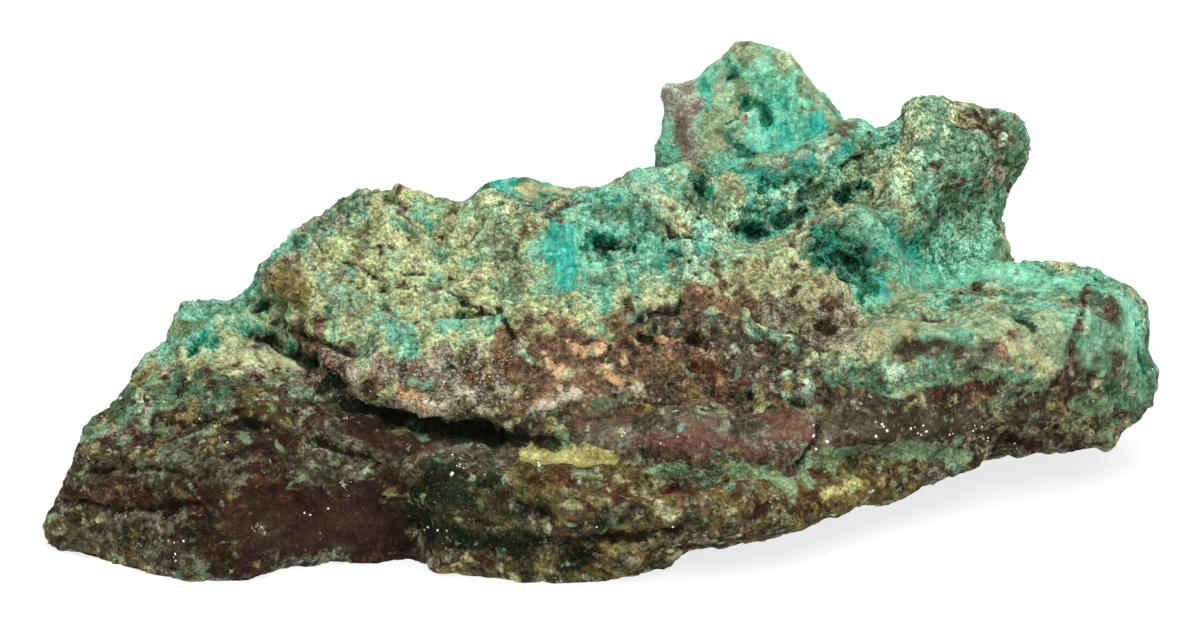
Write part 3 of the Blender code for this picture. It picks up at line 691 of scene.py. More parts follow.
# Minerals from the lowest to the uppermost: the noise that tears the edge, the noise that
# picks the hue, how ragged and how soft the edge is, and screen colours from dark to light.
ROCK = ((46, 38, 29), (70, 60, 47), (92, 83, 66), (116, 110, 90))
MINERALS = {
    "grey": (0, 0, 1.2, 0.7, (82, 72, 58), (106, 96, 79), (124, 114, 95), (140, 132, 111)),
    "olive": (0, 1, 1.6, 0.8, (62, 50, 28), (90, 78, 47), (114, 101, 60), (138, 126, 78)),
    "green": (1, 0, 1.6, 0.9, (64, 104, 78), (90, 148, 116), (110, 174, 142), (128, 192, 158),
              (146, 206, 172)),
    "lime": (2, 1, 1.8, 0.9, (116, 112, 72), (158, 160, 110), (182, 191, 136), (196, 209, 155),
             (212, 224, 176)),
    "turquoise": (1, 2, 1.8, 0.9, (68, 134, 102), (90, 171, 138), (111, 194, 159), (132, 210, 174),
                  (152, 220, 190)),
    "blue": (0, 2, 1.6, 0.8, (16, 118, 100), (30, 156, 134), (56, 178, 154), (92, 198, 174)),
    "moss": (2, 0, 1.8, 0.8, (46, 64, 42), (62, 94, 66), (80, 122, 90), (98, 144, 112),
             (124, 168, 134)),
    "sage": (1, 0, 1.8, 0.8, (88, 104, 76), (120, 140, 106), (144, 164, 126), (168, 186, 148)),
    "umber": (2, 1, 1.6, 0.7, (48, 40, 29), (66, 56, 42), (86, 76, 60), (112, 106, 84)),
    "mint": (0, 0, 1.6, 0.6, (120, 150, 116), (150, 184, 148), (182, 208, 176)),
    "buff": (1, 1, 1.8, 0.8, (128, 120, 84), (164, 160, 118), (184, 186, 138), (202, 206, 162)),
    "mauve": (2, 1, 1.8, 0.6, (104, 88, 72), (142, 124, 102), (166, 152, 126), (190, 186, 156),
              (216, 218, 192)),
    "rust": (0, 0, 1.6, 0.6, (62, 48, 37), (90, 71, 56), (114, 90, 69), (142, 113, 84),
             (190, 156, 114)),
    "maroon": (2, 1, 1.6, 0.7, (42, 27, 20), (54, 37, 29), (64, 45, 36), (78, 62, 50)),
    "plum": (1, 0, 1.4, 0.35, (94, 62, 51), (110, 78, 66), (120, 90, 76), (134, 112, 96)),
    "taupe": (2, 0, 1.2, 0.4, (122, 112, 96), (144, 136, 118), (156, 156, 136), (158, 180, 152)),
    "seams": (2, 0, 1.2, 0.3, (58, 43, 32), (86, 66, 50), (110, 90, 70), (132, 118, 92)),
    "orange": (1, 1, 1.4, 0.3, (184, 134, 86), (226, 184, 132), (244, 218, 176)),
    "ochre": (0, 0, 1.6, 0.7, (92, 82, 48), (126, 114, 68), (150, 136, 78), (166, 154, 92)),
    "ember": (1, 1, 1.6, 0.5, (58, 39, 28), (84, 55, 38), (126, 84, 54)),
    "beds": (0, 0, 1.6, 0.4, (54, 49, 36), (76, 70, 54), (98, 96, 77), (126, 130, 106)),
    # Painted shade: near-black laid in the undercut, cracks and hollows.
    "gloom": (2, 1, 1.4, 0.7, (22, 20, 13), (30, 32, 20), (32, 44, 30), (48, 50, 34)),
    "yellow": (0, 0, 1.0, 0.2, (166, 158, 96), (184, 178, 106), (194, 188, 116), (208, 206, 138)),
    "veins": (2, 1, 1.4, 0.4, (74, 98, 68), (104, 126, 90), (126, 150, 112), (148, 176, 138)),
    "quartz": (1, 0, 1.2, 0.25, (164, 144, 122), (204, 188, 166), (232, 222, 204)),
    # Painted shade: dark emerald laid in caves and pits.
    "deep": (2, 2, 1.8, 0.5, (0, 52, 33), (2, 94, 67), (22, 138, 106), (84, 184, 150)),
}
# Screen colours of the details that lie over the minerals; the two shades and the crack colour are
# painted shade.
NET_GREEN = (170, 220, 194)
HAIR_BROWN = (104, 92, 66)
PORE_GREEN = (40, 46, 26)
SPECK_BROWN = (72, 58, 36)
PALE_GRAIN = (216, 218, 196)
SLIT_BROWN = (52, 44, 34)
SEAM_ORANGE = (204, 172, 130)
BROWN_SHADE = (36, 30, 22)
GREEN_SHADE = (10, 76, 54)
CRACK_SHADE = (26, 24, 16)
# Shares of the mineral's colour on its darkest and lightest grains, painted shade and painted
# highlight included.
DARKEST_SHADED_GRAIN = 0.45
LIGHTEST_LIT_GRAIN = 1.43
# The part of a noise that a row of colours is spread over, and how far noises are widened.
RAMP_FROM = 0.2
RAMP_TO = 0.8
NOISE_GAIN = 2.4
FIBRE_STRETCH = (1.0, 0.35, 0.35)
BUMP_HEIGHT = 0.7

FLOOR_SIZE = 6.0
SKY_STRENGTH = 0.55
# Lamps: place and size in metres, and power in watts.
LAMPS = {
    "key_lamp": ((0.12, -0.16, 0.75), 0.8, 8.0),
    "front_lamp": ((0.25, -0.8, 0.3), 0.5, 1.5),
}
# How much of a screen colour's light the surface gives back under these lamps.
GAIN = 0.8


def ink(red, green, blue):
    """The surface colour that shows as this screen colour of 0 to 255."""
    def light(value):
        value /= 255.0
        return value / 12.92 if value <= 0.04045 else ((value + 0.055) / 1.055) ** 2.4
    return tuple(GAIN * light(value) for value in (red, green, blue))


# ---------------------------------------------------------------- noise

# Each cell has one of these numbers, which picks its random slope and spot.
NUMBERS = 256
SLOPES = np.random.default_rng(5).normal(size=(NUMBERS, 3))
SLOPES /= np.linalg.norm(SLOPES, axis=1)[:, None]
SPOTS = np.random.default_rng(6).uniform(size=(NUMBERS, 3))
# Large odd numbers that scramble a cell's place and seed, and the bits that are kept.
PLACE_KEYS = (73856093, 19349663, 83492791)
SEED_KEY = 40503
FIRST_KEY = 2246822519
SECOND_KEY = 3266489917
BITS = 0xFFFFFFFF
CHIP_TILT = 1.3
# What moves a noise for each seed, and what brings it to about -1 to 1.
SEED_SHIFT = 0.37
NOISE_REACH = 1.7


def scrambled(cells, seed):
    """A repeatable number below NUMBERS for each cell."""
    first, second, third = (cells * PLACE_KEYS).T
    mixed = (first ^ second ^ third ^ seed * SEED_KEY) & BITS
    mixed = (mixed ^ mixed >> 15) * FIRST_KEY & BITS
    mixed = (mixed ^ mixed >> 13) * SECOND_KEY & BITS
    return (mixed ^ mixed >> 16) & (NUMBERS - 1)


def noise(points, size, seed):
    """Smooth noise of about -1 to 1 with bumps of this size."""
    place = points / size + SEED_SHIFT * seed
    cells = np.floor(place).astype(np.int64)
    part = place - cells
    fade = part ** 3 * (part * (part * 6.0 - 15.0) + 10.0)
    total = np.zeros(len(points))
    for corner in itertools.product((0, 1), repeat=3):
        slopes = SLOPES[scrambled(cells + corner, seed)]
        weight = np.prod(np.where(corner, fade, 1.0 - fade), axis=1)
        total += weight * np.sum(slopes * (part - corner), axis=1)
    return total * NOISE_REACH


def cloudy(points, size, seed, octaves, gain=0.5):
    """Noise of several sizes, each half as large as the one before."""
    total = np.zeros(len(points))
    for octave in range(octaves):
        total += gain ** octave * noise(points, size / 2 ** octave, seed + 11 * octave)
    return total


def ridged(points, size, seed, octaves):
    """Noise with sharp crests, from 0 in the dips to 1 on the crests."""
    total = np.zeros(len(points))
    for octave in range(octaves):
        wave = 1.0 - np.abs(noise(points, size / 2 ** octave, seed + 7 * octave))
        total += 0.5 ** (octave + 1) * wave ** 2
    return total


def cells_of(points, size, seed):
    """The gap to the nearest spot, its length, the next spot's distance and the number."""
    place = points / size
    base = np.floor(place).astype(np.int64)
    gap = np.zeros_like(place)
    near = np.full(len(points), FAR)
    second = np.full(len(points), FAR)
    number = np.zeros(len(points), dtype=np.int64)
    for step in itertools.product((-1, 0, 1), repeat=3):
        cell = base + step
        code = scrambled(cell, seed)
        away = place - cell - SPOTS[code]
        length = np.linalg.norm(away, axis=1)
        closer = length < near
        gap[closer] = away[closer]
        number[closer] = code[closer]
        second = np.where(closer, near, np.minimum(second, length))
        near = np.minimum(near, length)
    return gap, near, second, number


def chips(points, size, seed):
    """Tilted flat chips with sharp steps between them, from about -1 to 1."""
    gap, _, _, number = cells_of(points, size, seed)
    return CHIP_TILT * np.sum(gap * SLOPES[number], axis=1) + SPOTS[number][:, 0] - 0.5


def eased(values, low, high):
    """Smooth step from 0 at low to 1 at high."""
    part = np.clip((values - low) / (high - low), 0.0, 1.0)
    return part * part * (3.0 - 2.0 * part)


# ---------------------------------------------------------------- the view

def seen(tree, dot):
    """The place on the stone under a dot of the view, or the nearest one to its ray."""
    across = (dot[0] - VIEW_WIDTH / 2) * DOT / CAMERA_DISTANCE
    over = (VIEW_HEIGHT / 2 - dot[1]) * DOT / CAMERA_DISTANCE
    ray = (FORWARD + RIGHT * across + UP * over).normalized()
    hit = tree.ray_cast(CAMERA_PLACE, ray)[0]
    if hit is None:
        hit = tree.find_nearest(CAMERA_PLACE + CAMERA_DISTANCE * ray)[0]
        hit = tree.find_nearest(CAMERA_PLACE + (hit - CAMERA_PLACE).dot(ray) * ray)[0]
    return np.array(hit)


def closer_dots(dots):
    """The same line of dots with more dots between them."""
    line = [dots[0]]
    for start, end in zip(dots, dots[1:]):
        count = math.ceil(math.dist(start, end) / DOT_STEP)
        for number in range(1, count + 1):
            part = number / count
            line.append([first + part * (last - first) for first, last in zip(start, end)])
    return line


def distance_to(points, tree, reach, dots):
    """Distance of each point from the line under the dots, or FAR where it is far off."""
    line = [seen(tree, dot) for dot in (closer_dots(dots) if reach < THIN_STROKE else dots)]
    if len(line) == 1:
        line = line * 2
    margin = reach + NEAR
    low_corner = np.min(line, axis=0) - margin
    high_corner = np.max(line, axis=0) + margin
    within = np.all((points > low_corner) & (points < high_corner), axis=1)
    near = points[within]
    nearest = np.full(len(near), FAR)
    for start, end in zip(line, line[1:]):
        along = end - start
        part = np.clip((near - start) @ along / max(along @ along, 1e-9), 0.0, 1.0)
        gap = np.linalg.norm(near - start - part[:, None] * along, axis=1)
        nearest = np.minimum(nearest, gap)
    distance = np.full(len(points), FAR)
    distance[within] = nearest
    return distance


def depth_inside(points, tree, patches):
    """How deep each point lies inside the patches, negative outside them."""
    depth = np.full(len(points), -FAR)
    for reach, *dots in patches.values():
        depth = np.maximum(depth, reach - distance_to(points, tree, reach, dots))
    return depth


def heights_of(points, tree, strokes):
    """Largest height of the strokes at each point, falling to 0 at twice their reach."""
    height = np.zeros(len(points))
    for reach, top, *dots in strokes.values():
        gap = distance_to(points, tree, reach, dots)
        height = np.maximum(height, top * eased(2.0 * reach - gap, 0.0, 1.4 * reach))
    return height


def facing_camera(points, normals):
    """How squarely the surface faces the camera: 1 straight on, negative when hidden."""
    toward = np.array(CAMERA_PLACE) - points
    toward /= np.linalg.norm(toward, axis=1)[:, None]
    return np.sum(normals * toward, axis=1)


# ---------------------------------------------------------------- meshes

def only(*things):
    """Make these objects the selected ones, and the first of them active."""
    bpy.ops.object.select_all(action="DESELECT")
    for thing in things:
        thing.select_set(True)
    if things:
        bpy.context.view_layer.objects.active = things[0]


def applied(thing, kind, **settings):
    """Add a modifier to an object and apply it."""
    only(thing)
    modifier = thing.modifiers.new(kind.title(), kind)
    for name, value in settings.items():
        setattr(modifier, name, value)
    bpy.ops.object.modifier_apply(modifier=modifier.name)


def new_object(name, data):
    """An object with this data, linked to the scene."""
    made = bpy.data.objects.new(name, data)
    bpy.context.scene.collection.objects.link(made)
    return made


def points_of(mesh):
    """Vertex places of a mesh as an array."""
    values = np.empty(3 * len(mesh.vertices))
    mesh.vertices.foreach_get("co", values)
    return values.reshape(-1, 3)


def normals_of(mesh):
    """Vertex normals of a mesh as an array."""
    values = np.empty(3 * len(mesh.vertices))
    mesh.vertex_normals.foreach_get("vector", values)
    return values.reshape(-1, 3)


def set_points(mesh, points):
    """Move the vertices of a mesh to the given places."""
    mesh.vertices.foreach_set("co", np.asarray(points, dtype=np.float64).ravel())
    mesh.update()


def inside_box(points):
    """The points, held inside the box of the solid part."""
    low_corner = np.array(cad_box[0]) / MM + BOX_MARGIN
    high_corner = np.array(cad_box[1]) / MM - BOX_MARGIN
    low_corner[2] = 0.0
    return np.clip(points, low_corner, high_corner)


def tree_of(mesh):
    """A search tree of a mesh for rays."""
    bpy.context.view_layer.update()
    places = [tuple(place) for place in points_of(mesh)]
    faces = [tuple(face.vertices) for face in mesh.polygons]
    return BVHTree.FromPolygons(places, faces)


def blurred(mesh, values, rounds):
    """Values at the vertices, averaged along the edges so many times."""
    pairs = np.empty(2 * len(mesh.edges), dtype=np.int64)
    mesh.edges.foreach_get("vertices", pairs)
    starts, ends = pairs.reshape(-1, 2).T
    total = len(mesh.vertices)
    count = np.bincount(starts, minlength=total) + np.bincount(ends, minlength=total)
    columns = []
    for column in np.atleast_2d(values.T):
        for _ in range(rounds):
            around = np.bincount(starts, column[ends], total)
            around += np.bincount(ends, column[starts], total)
            column = 0.5 * column + 0.5 * around / np.maximum(count, 1)
        columns.append(column)
    return np.stack(columns, axis=-1).reshape(values.shape)


def hollow_of(mesh, rounds, span):
    """How hollow the surface is: 0 on crests, a half where flat, 1 in dips."""
    places = points_of(mesh)
    depth = np.sum((blurred(mesh, places, rounds) - places) * normals_of(mesh), axis=1)
    return np.clip(0.5 + depth / span, 0.0, 1.0)


def set_level(mesh, name, values):
    """Store one number at each vertex of a mesh."""
    layer = mesh.attributes.new(name, "FLOAT", "POINT")
    layer.data.foreach_set("value", np.asarray(values, dtype=np.float32))


# ---------------------------------------------------------------- quartz chips

def chip_model():
    """One quartz chip with cut edges, about one unit wide."""
    only()
    bpy.ops.mesh.primitive_cube_add(size=1.0)
    chip = bpy.context.object
    bpy.ops.object.mode_set(mode="EDIT")
    bpy.ops.mesh.select_all(action="SELECT")
    bpy.ops.transform.resize(value=CHIP_SHAPE, center_override=(0.0, 0.0, 0.0))
    bpy.ops.mesh.bevel(offset=CHIP_EDGE, segments=1, affect="EDGES")
    bpy.ops.object.mode_set(mode="OBJECT")
    return chip


def glint_spots(mesh):
    """Place and width of every quartz chip."""
    tree = tree_of(mesh)
    chance = np.random.default_rng(GLINT_SEED)
    spots = []
    for width, count, *dots in GLINTS.values():
        for _ in range(count):
            part = chance.uniform(0.0, len(dots) - 1.0)
            dot = np.array([np.interp(part, range(len(dots)), side) for side in zip(*dots)])
            if count > 1:
                dot += GLINT_SPREAD * chance.normal(size=2)
            spots.append((seen(tree, dot), width * chance.uniform(*GLINT_SIZES)))
    places = points_of(mesh)
    for number in chance.choice(len(places), LOOSE_GLINTS, replace=False):
        spots.append((places[number], chance.uniform(*LOOSE_WIDTHS)))
    turns = [np.linalg.qr(chance.normal(size=(3, 3)))[0] for _ in spots]
    return spots, turns


def make_glints(skin):
    """Quartz chips that sit in the skin, joined into one piece."""
    spots, turns = glint_spots(skin.data)
    model = chip_model()
    corners = points_of(model.data)
    chips_made = []
    for (place, width), turn in zip(spots, turns):
        turn[:, 0] *= np.sign(np.linalg.det(turn))
        chip = new_object("quartz_glints", model.data.copy())
        set_points(chip.data, inside_box(place + width * corners @ turn.T))
        chips_made.append(chip)
    bpy.data.objects.remove(model)
    only(*chips_made)
    bpy.ops.object.join()
    return chips_made[0]


# ---------------------------------------------------------------- the stone's skin

def stone_copy():
    """A finely meshed copy of the stone, in millimetres."""
    mesh = bpy.data.objects["stone"].data.copy()
    mesh.materials.clear()
    skin = new_object("stone_skin", mesh)
    set_points(mesh, points_of(mesh) / MM)
    only(skin)
    bpy.ops.object.mode_set(mode="EDIT")
    bpy.ops.mesh.select_all(action="SELECT")
    bpy.ops.mesh.remove_doubles(threshold=MERGED_BELOW)
    bpy.ops.object.mode_set(mode="OBJECT")
    applied(skin, "REMESH", mode="VOXEL", voxel_size=SKIN_GRAIN, adaptivity=0.0)
    applied(skin, "SMOOTH", factor=0.5, iterations=SKIN_SMOOTHING)
    away = eased(-facing_camera(points_of(skin.data), normals_of(skin.data)), 0.0, 0.3)
    group = skin.vertex_groups.new(name="far_side")
    for share in np.arange(1, 11) / 10:
        chosen = np.flatnonzero(np.round(away, 1) == np.round(share, 1))
        group.add([int(number) for number in chosen], float(share), "REPLACE")
    applied(skin, "DECIMATE", ratio=SKIN_KEPT, vertex_group="far_side",
            vertex_group_factor=FAR_SIDE_PULL)
    skin.vertex_groups.clear()
    return skin


def ground_of(mesh):
    """The skin's places, and warped and stretched copies of them that tear the patches."""
    base = points_of(mesh)
    drift = np.stack([noise(base, DRIFT_SIZE, seed) for seed in (1, 2, 3)], axis=1)
    ripple = np.stack([noise(base, RIPPLE_SIZE, seed) for seed in (4, 5, 6)], axis=1)
    return SimpleNamespace(
        base=base, normals=normals_of(mesh), tree=tree_of(mesh), drift=drift, ripple=ripple,
        warped=base + 0.9 * drift + 0.35 * ripple, thin=base + 0.35 * drift + 0.25 * ripple,
        falling=base * np.array((1.0, 0.45, 0.45)), lying=base * np.array((0.35, 0.35, 1.0)))


def scatter(levels, base, patterns, grounds, share, gain, most, roughness):
    """Raise the minerals by chance where their ground and this share of the skin allow."""
    for name, size, seed, bar, where in patterns:
        chance = np.clip(gain * (cloudy(base, size, seed, 4, roughness) - bar), -2.0, most)
        raised = share * grounds[where] * (chance - ABSENT) + ABSENT
        levels[name] = np.maximum(levels[name], raised)


def mineral_levels(ground, calm):
    """How far each point lies inside each mineral, negative outside it."""
    base, tree, warped = ground.base, ground.tree, ground.warped
    levels = {}
    for name, (patches, places, most, least, tear, way, size, seed) in SPREAD.items():
        depth = np.clip(depth_inside(getattr(ground, places), tree, patches), least, most)
        torn = cloudy(getattr(ground, way), size, seed, 4, 0.6)
        levels[name] = depth + tear * 0.8 * torn
    cracks = {name: (reach, *dots) for name, (reach, _, *dots) in CUTS.items()}
    levels["cut"] = np.minimum(-depth_inside(ground.thin, tree, cracks), 3.0)
    mantle = warped[:, 2] - np.interp(warped[:, 0], GREEN_EDGE_X, GREEN_EDGE_Z)
    torn = cloudy(ground.falling, 5.0, 21, 4, 0.6)
    levels["green"] = np.clip(mantle, ABSENT, 1.8) + 2.2 * torn

    high = eased(mantle, -1.0, 4.0)
    grounds = {"high": high, "low": 1.0 - high, "all": 1.0}
    behind = eased(-facing_camera(base, ground.normals), -0.05, 0.35)
    scatter(levels, base, HIDDEN, grounds, behind, 4.0, 1.5, 0.5)
    grounds["earthy"] = 1.0 - eased(levels["turquoise"], -2.0, 0.2)
    busy = 1.0 - eased(calm, 0.6, 0.9)
    scatter(levels, base, STRAYS, grounds, busy, 3.0, 0.7, 0.65)

    for name, (size, seed) in TINTS.items():
        order = np.argsort(np.argsort(cloudy(base + 0.5 * ground.drift, size, seed, 5, 0.65)))
        levels[name] = order / len(order)
    return levels


def relief_of(ground, levels, calm):
    """Relief of each mineral, in millimetres along the normal."""
    base, tree, thin = ground.base, ground.tree, ground.thin
    drift, ripple = ground.drift, ground.ripple
    waves = {
        "swell": cloudy(base, 8.0, 19, 2),
        "rough": cloudy(base, 3.0, 9, 3),
        "fine": cloudy(base, 1.1, 8, 2),
        "rocky": ridged(base + 0.4 * drift, 3.4, 15, 3) - 0.45,
        "broken": chips(base + 0.25 * drift, 5.6, 22),
        "chipped": chips(base + 0.2 * drift + 0.1 * ripple, 2.6, 23),
        "nicked": chips(base + 0.1 * ripple, 1.25, 24),
    }
    beds = ridged(base * np.array((0.16, 0.16, 1.0)) + 0.25 * drift, 1.3, 12, 2) - 0.4
    _, knob, _, knob_number = cells_of(base + 0.3 * ripple, 1.9, 3)
    _, crumb, _, crumb_number = cells_of(base + 0.15 * ripple, 1.0, 4)
    lumpy, crumbly = 0.5 - knob, 0.5 - crumb
    pores = eased(0.42 - crumb, 0.0, 0.25) * (crumb_number > 190)
    wide_pores = eased(0.46 - knob, 0.0, 0.2) * (knob_number > 150)
    _, first, second, _ = cells_of(base + 1.1 * drift + 0.4 * ripple, 9.5, 27)
    split = 1.0 - eased(second - first, 0.0, 0.05)
    swells = heights_of(thin, tree, SWELLS)
    cuts = np.maximum(heights_of(thin, tree, CUTS), heights_of(thin, tree, DENTS))

    lime = eased(levels["lime"], -0.5, 0.5) * eased(levels["green"], -0.5, 0.5)
    blue = eased(levels["turquoise"], -0.5, 0.5)
    olive = eased(levels["olive"], -0.5, 0.5)
    cave = eased(levels["deep"], -0.8, 0.6)
    bedded = eased(-base[:, 0], 14.0, 26.0) * eased(17.0 - base[:, 2], 0.0, 3.0)
    relief = sum(height * waves[name] for name, height in ROCK_RELIEF.items())
    relief += lime * (0.1 * lumpy + 0.18 * crumbly - 0.35 * pores)
    relief += blue * (0.16 * crumbly + 0.12 * lumpy - 0.35 * pores)
    relief += olive * (0.2 * lumpy - 0.2 * wide_pores)
    relief += BED_RELIEF * bedded * beds
    relief *= 0.75 - 0.5 * calm
    ragged = 0.7 * waves["rocky"] + 0.35 * waves["chipped"] + 0.25 * waves["nicked"]
    relief += cave * (ragged - 0.3 * pores - 0.2)
    relief += eased(levels["mint"], -0.3, 0.5) * 0.2 + swells
    relief -= 0.3 * split * (1.0 - cave) * (1.0 - 0.6 * calm)
    relief -= cuts
    foot = np.maximum(0.0, FOOT_ROUGHNESS * np.abs(waves["rough"]) - FOOT_WEAR)
    return relief, foot


def make_stone():
    """The whole skin of the stone with its relief and its minerals."""
    skin = stone_copy()
    mesh = skin.data
    base = points_of(mesh)
    share = heights_of(base, tree_of(mesh), FILLS)[:, None]
    set_points(mesh, base + share * (blurred(mesh, base, FILL_ROUNDS) - base))

    ground = ground_of(mesh)
    base = ground.base
    calm = np.clip(0.5 + depth_inside(base, ground.tree, CALM) / CALM_EDGE, 0.0, 1.0)
    crisp = eased(depth_inside(base, ground.tree, CRISP_AND_LIT), -1.5, 0.5)
    levels = mineral_levels(ground, calm)
    levels["calm"] = eased(calm, 0.3, 1.0) * (1.0 - crisp)
    levels["crisp"] = crisp
    relief, foot = relief_of(ground, levels, calm)
    low = base[:, 2] < FLAT_BELOW
    moved = base + relief[:, None] * ground.normals
    moved[low, 2] = foot[low]
    set_points(mesh, inside_box(moved))

    for name, (rounds, span) in HOLLOWS.items():
        levels[name] = hollow_of(mesh, rounds, span)
    for name, values in levels.items():
        set_level(mesh, name, values)
    only(skin)
    bpy.ops.object.shade_smooth()
    return skin


# ---------------------------------------------------------------- materials

def node_maker(operation, turned=False):
    """An operator between levels that adds a Math node."""
    def operator(self, other):
        pair = (other, self) if turned else (self, other)
        return self.paint.math(operation, *pair)
    return operator


class Level:
    """A number that varies over a surface; sums on it add Math nodes."""

    def __init__(self, paint, socket):
        self.paint = paint
        self.socket = socket

    __add__ = __radd__ = node_maker("ADD")
    __mul__ = __rmul__ = node_maker("MULTIPLY")
    __sub__ = node_maker("SUBTRACT")
    __rsub__ = node_maker("SUBTRACT", turned=True)
    __truediv__ = node_maker("DIVIDE")
    __pow__ = node_maker("POWER")


class Paint:
    """One material with a Principled shader and the nodes that feed it."""

    def __init__(self, name, **constants):
        self.material = bpy.data.materials.new(name)
        self.material.use_nodes = True
        self.tree = self.material.node_tree
        self.tree.nodes.clear()
        self.shader = self.node("ShaderNodeBsdfPrincipled", **constants)
        self.node("ShaderNodeOutputMaterial", Surface=self.shader.outputs[0])

    def node(self, kind, settings=None, **sockets):
        """A node with its settings, then its sockets, by name or as s and their number."""
        made = self.tree.nodes.new(kind)
        for name, value in (settings or {}).items():
            if name == "stops":
                self.set_stops(made.color_ramp, value)
            else:
                setattr(made, name, value)
        for name, value in sockets.items():
            key = int(name[1:]) if name[1:].isdigit() else name.replace("_", " ")
            self.feed(made.inputs[key], value)
        return made

    def feed(self, target, value):
        """Set a socket to a value, or link a level or another socket to it."""
        if isinstance(value, Level):
            self.tree.links.new(value.socket, target)
        elif isinstance(value, bpy.types.NodeSocket):
            self.tree.links.new(value, target)
        elif isinstance(value, tuple) and len(value) == 3 and target.type == "RGBA":
            target.default_value = (*value, 1.0)
        else:
            target.default_value = value

    @staticmethod
    def set_stops(ramp, stops):
        """Give a ramp its stops."""
        while len(ramp.elements) < len(stops):
            ramp.elements.new(0.5)
        for element, (place, colour) in zip(ramp.elements, stops):
            element.position = place
            element.color = (*colour, 1.0)

    def math(self, operation, *values):
        """A Math node's result."""
        sockets = {f"s{i}": value for i, value in enumerate(values)}
        made = self.node("ShaderNodeMath", {"operation": operation}, **sockets)
        return Level(self, made.outputs[0])

    def level(self, name):
        """A number stored on the mesh."""
        made = self.node("ShaderNodeAttribute", {"attribute_name": name})
        return Level(self, made.outputs["Fac"])

    def places(self, stretch=(1.0, 1.0, 1.0)):
        """Places on the piece, in metres."""
        made = self.node("ShaderNodeTexCoord").outputs["Object"]
        return self.node("ShaderNodeMapping", Vector=made, Scale=stretch).outputs[0]

    def noise(self, where, size, detail, roughness):
        """Three independent noises around a half, of features of this size in millimetres."""
        made = self.node("ShaderNodeTexNoise", Vector=where, Scale=1.0 / (size * MM),
                         Detail=detail, Roughness=roughness)
        wide = self.node("ShaderNodeVectorMath", {"operation": "MULTIPLY_ADD"},
                         s0=made.outputs["Color"], s1=(NOISE_GAIN,) * 3,
                         s2=(0.5 - 0.5 * NOISE_GAIN,) * 3)
        parts = self.node("ShaderNodeSeparateXYZ", Vector=wide.outputs[0])
        return [Level(self, socket) for socket in parts.outputs]

    def cells(self, where, size):
        """Distance to the middle of the nearest cell, and a number for each cell."""
        made = self.node("ShaderNodeTexVoronoi", Vector=where, Scale=1.0 / (size * MM))
        parts = self.node("ShaderNodeSeparateColor", Color=made.outputs["Color"])
        return Level(self, made.outputs["Distance"]), Level(self, parts.outputs[0])

    def step(self, value, low, high, bottom=0.0, top=1.0):
        """Smooth step from bottom at low to top at high."""
        made = self.node("ShaderNodeMapRange", {"interpolation_type": "SMOOTHSTEP"},
                         s0=value, s1=low, s2=high, s3=bottom, s4=top)
        return Level(self, made.outputs[0])

    def line(self, value, middle, wide, narrow):
        """Thin lines where a noise passes its middle."""
        return self.step(self.math("ABSOLUTE", value - middle), wide, narrow)

    def ramp(self, value, *colours):
        """A colour picked by a noise from screen colours, from dark to light."""
        gap = (RAMP_TO - RAMP_FROM) / (len(colours) - 1)
        stops = [(RAMP_FROM + i * gap, ink(*colour)) for i, colour in enumerate(colours)]
        return self.node("ShaderNodeValToRGB", {"stops": stops}, Fac=value).outputs[0]

    def mix(self, factor, first, second):
        """One colour over another."""
        made = self.node("ShaderNodeMix", {"data_type": "RGBA"}, s0=factor, s6=first, s7=second)
        return made.outputs[2]

    def times(self, colour, red, green, blue):
        """A colour with each of its shares multiplied."""
        shares = self.node("ShaderNodeCombineXYZ", X=red, Y=green, Z=blue)
        made = self.node("ShaderNodeVectorMath", {"operation": "MULTIPLY"},
                         s0=colour, s1=shares.outputs[0])
        return made.outputs[0]


def ore_patterns(paint):
    """The noises, cells and stored levels that the looks of the ore are mixed from."""
    where = paint.places()
    broad, drift, haze = paint.noise(where, 2.2, 5.0, 0.72)
    tear, fray, nick = paint.noise(where, 0.75, 4.0, 0.72)
    grain, dust, spark = paint.noise(where, 0.25, 2.0, 0.6)
    fibres = paint.noise(paint.places(FIBRE_STRETCH), 0.45, 3.0, 0.6)[0]
    pitted, mosaic = paint.cells(where, 0.42)
    plane = paint.cells(where, 3.2)[1]
    stored = ("hollow", "dip", "tint", "cast", "calm", "crisp", "cut")
    return SimpleNamespace(
        broad=broad, drift=drift, haze=haze, tear=tear, fray=fray, nick=nick, grain=grain,
        dust=dust, spark=spark, fibres=fibres, pitted=pitted, mosaic=mosaic, plane=plane,
        **{name: paint.level(name) for name in stored})


def layered(paint, ore):
    """The minerals laid over the rock, and where each of them lies."""
    fringes = (ore.drift * 0.4 + ore.tear * 0.5 + ore.dust * 0.1,
               ore.haze * 0.4 + ore.fray * 0.5 + ore.grain * 0.1,
               ore.broad * 0.4 + ore.nick * 0.5 + ore.spark * 0.1)
    shades = (ore.tint * 0.35 + ore.nick * 0.4 + ore.mosaic * 0.25,
              ore.cast * 0.35 + ore.fray * 0.4 + ore.dust * 0.25,
              ore.tint * 0.3 + ore.fibres * 0.45 + ore.mosaic * 0.25)
    colour = paint.ramp(shades[0], *ROCK)
    masks = {}
    for name, (fringe, shade, ragged, soft, *colours) in MINERALS.items():
        level = paint.level(name) + (fringes[fringe] - 0.5) * ragged
        masks[name] = paint.step(level, -soft, soft)
        colour = paint.mix(masks[name], colour, paint.ramp(shades[shade], *colours))
    return colour, masks


def greens_of(paint, colour):
    """Where a colour is green at all, and where it is teal."""
    parts = paint.node("ShaderNodeSeparateXYZ", Vector=colour)
    reds, greens = (Level(paint, socket) for socket in parts.outputs[:2])
    greenness = (greens - reds) / (greens + 0.02)
    return paint.step(greenness, -0.1, 0.08), paint.step(greenness, 0.25, 0.6)


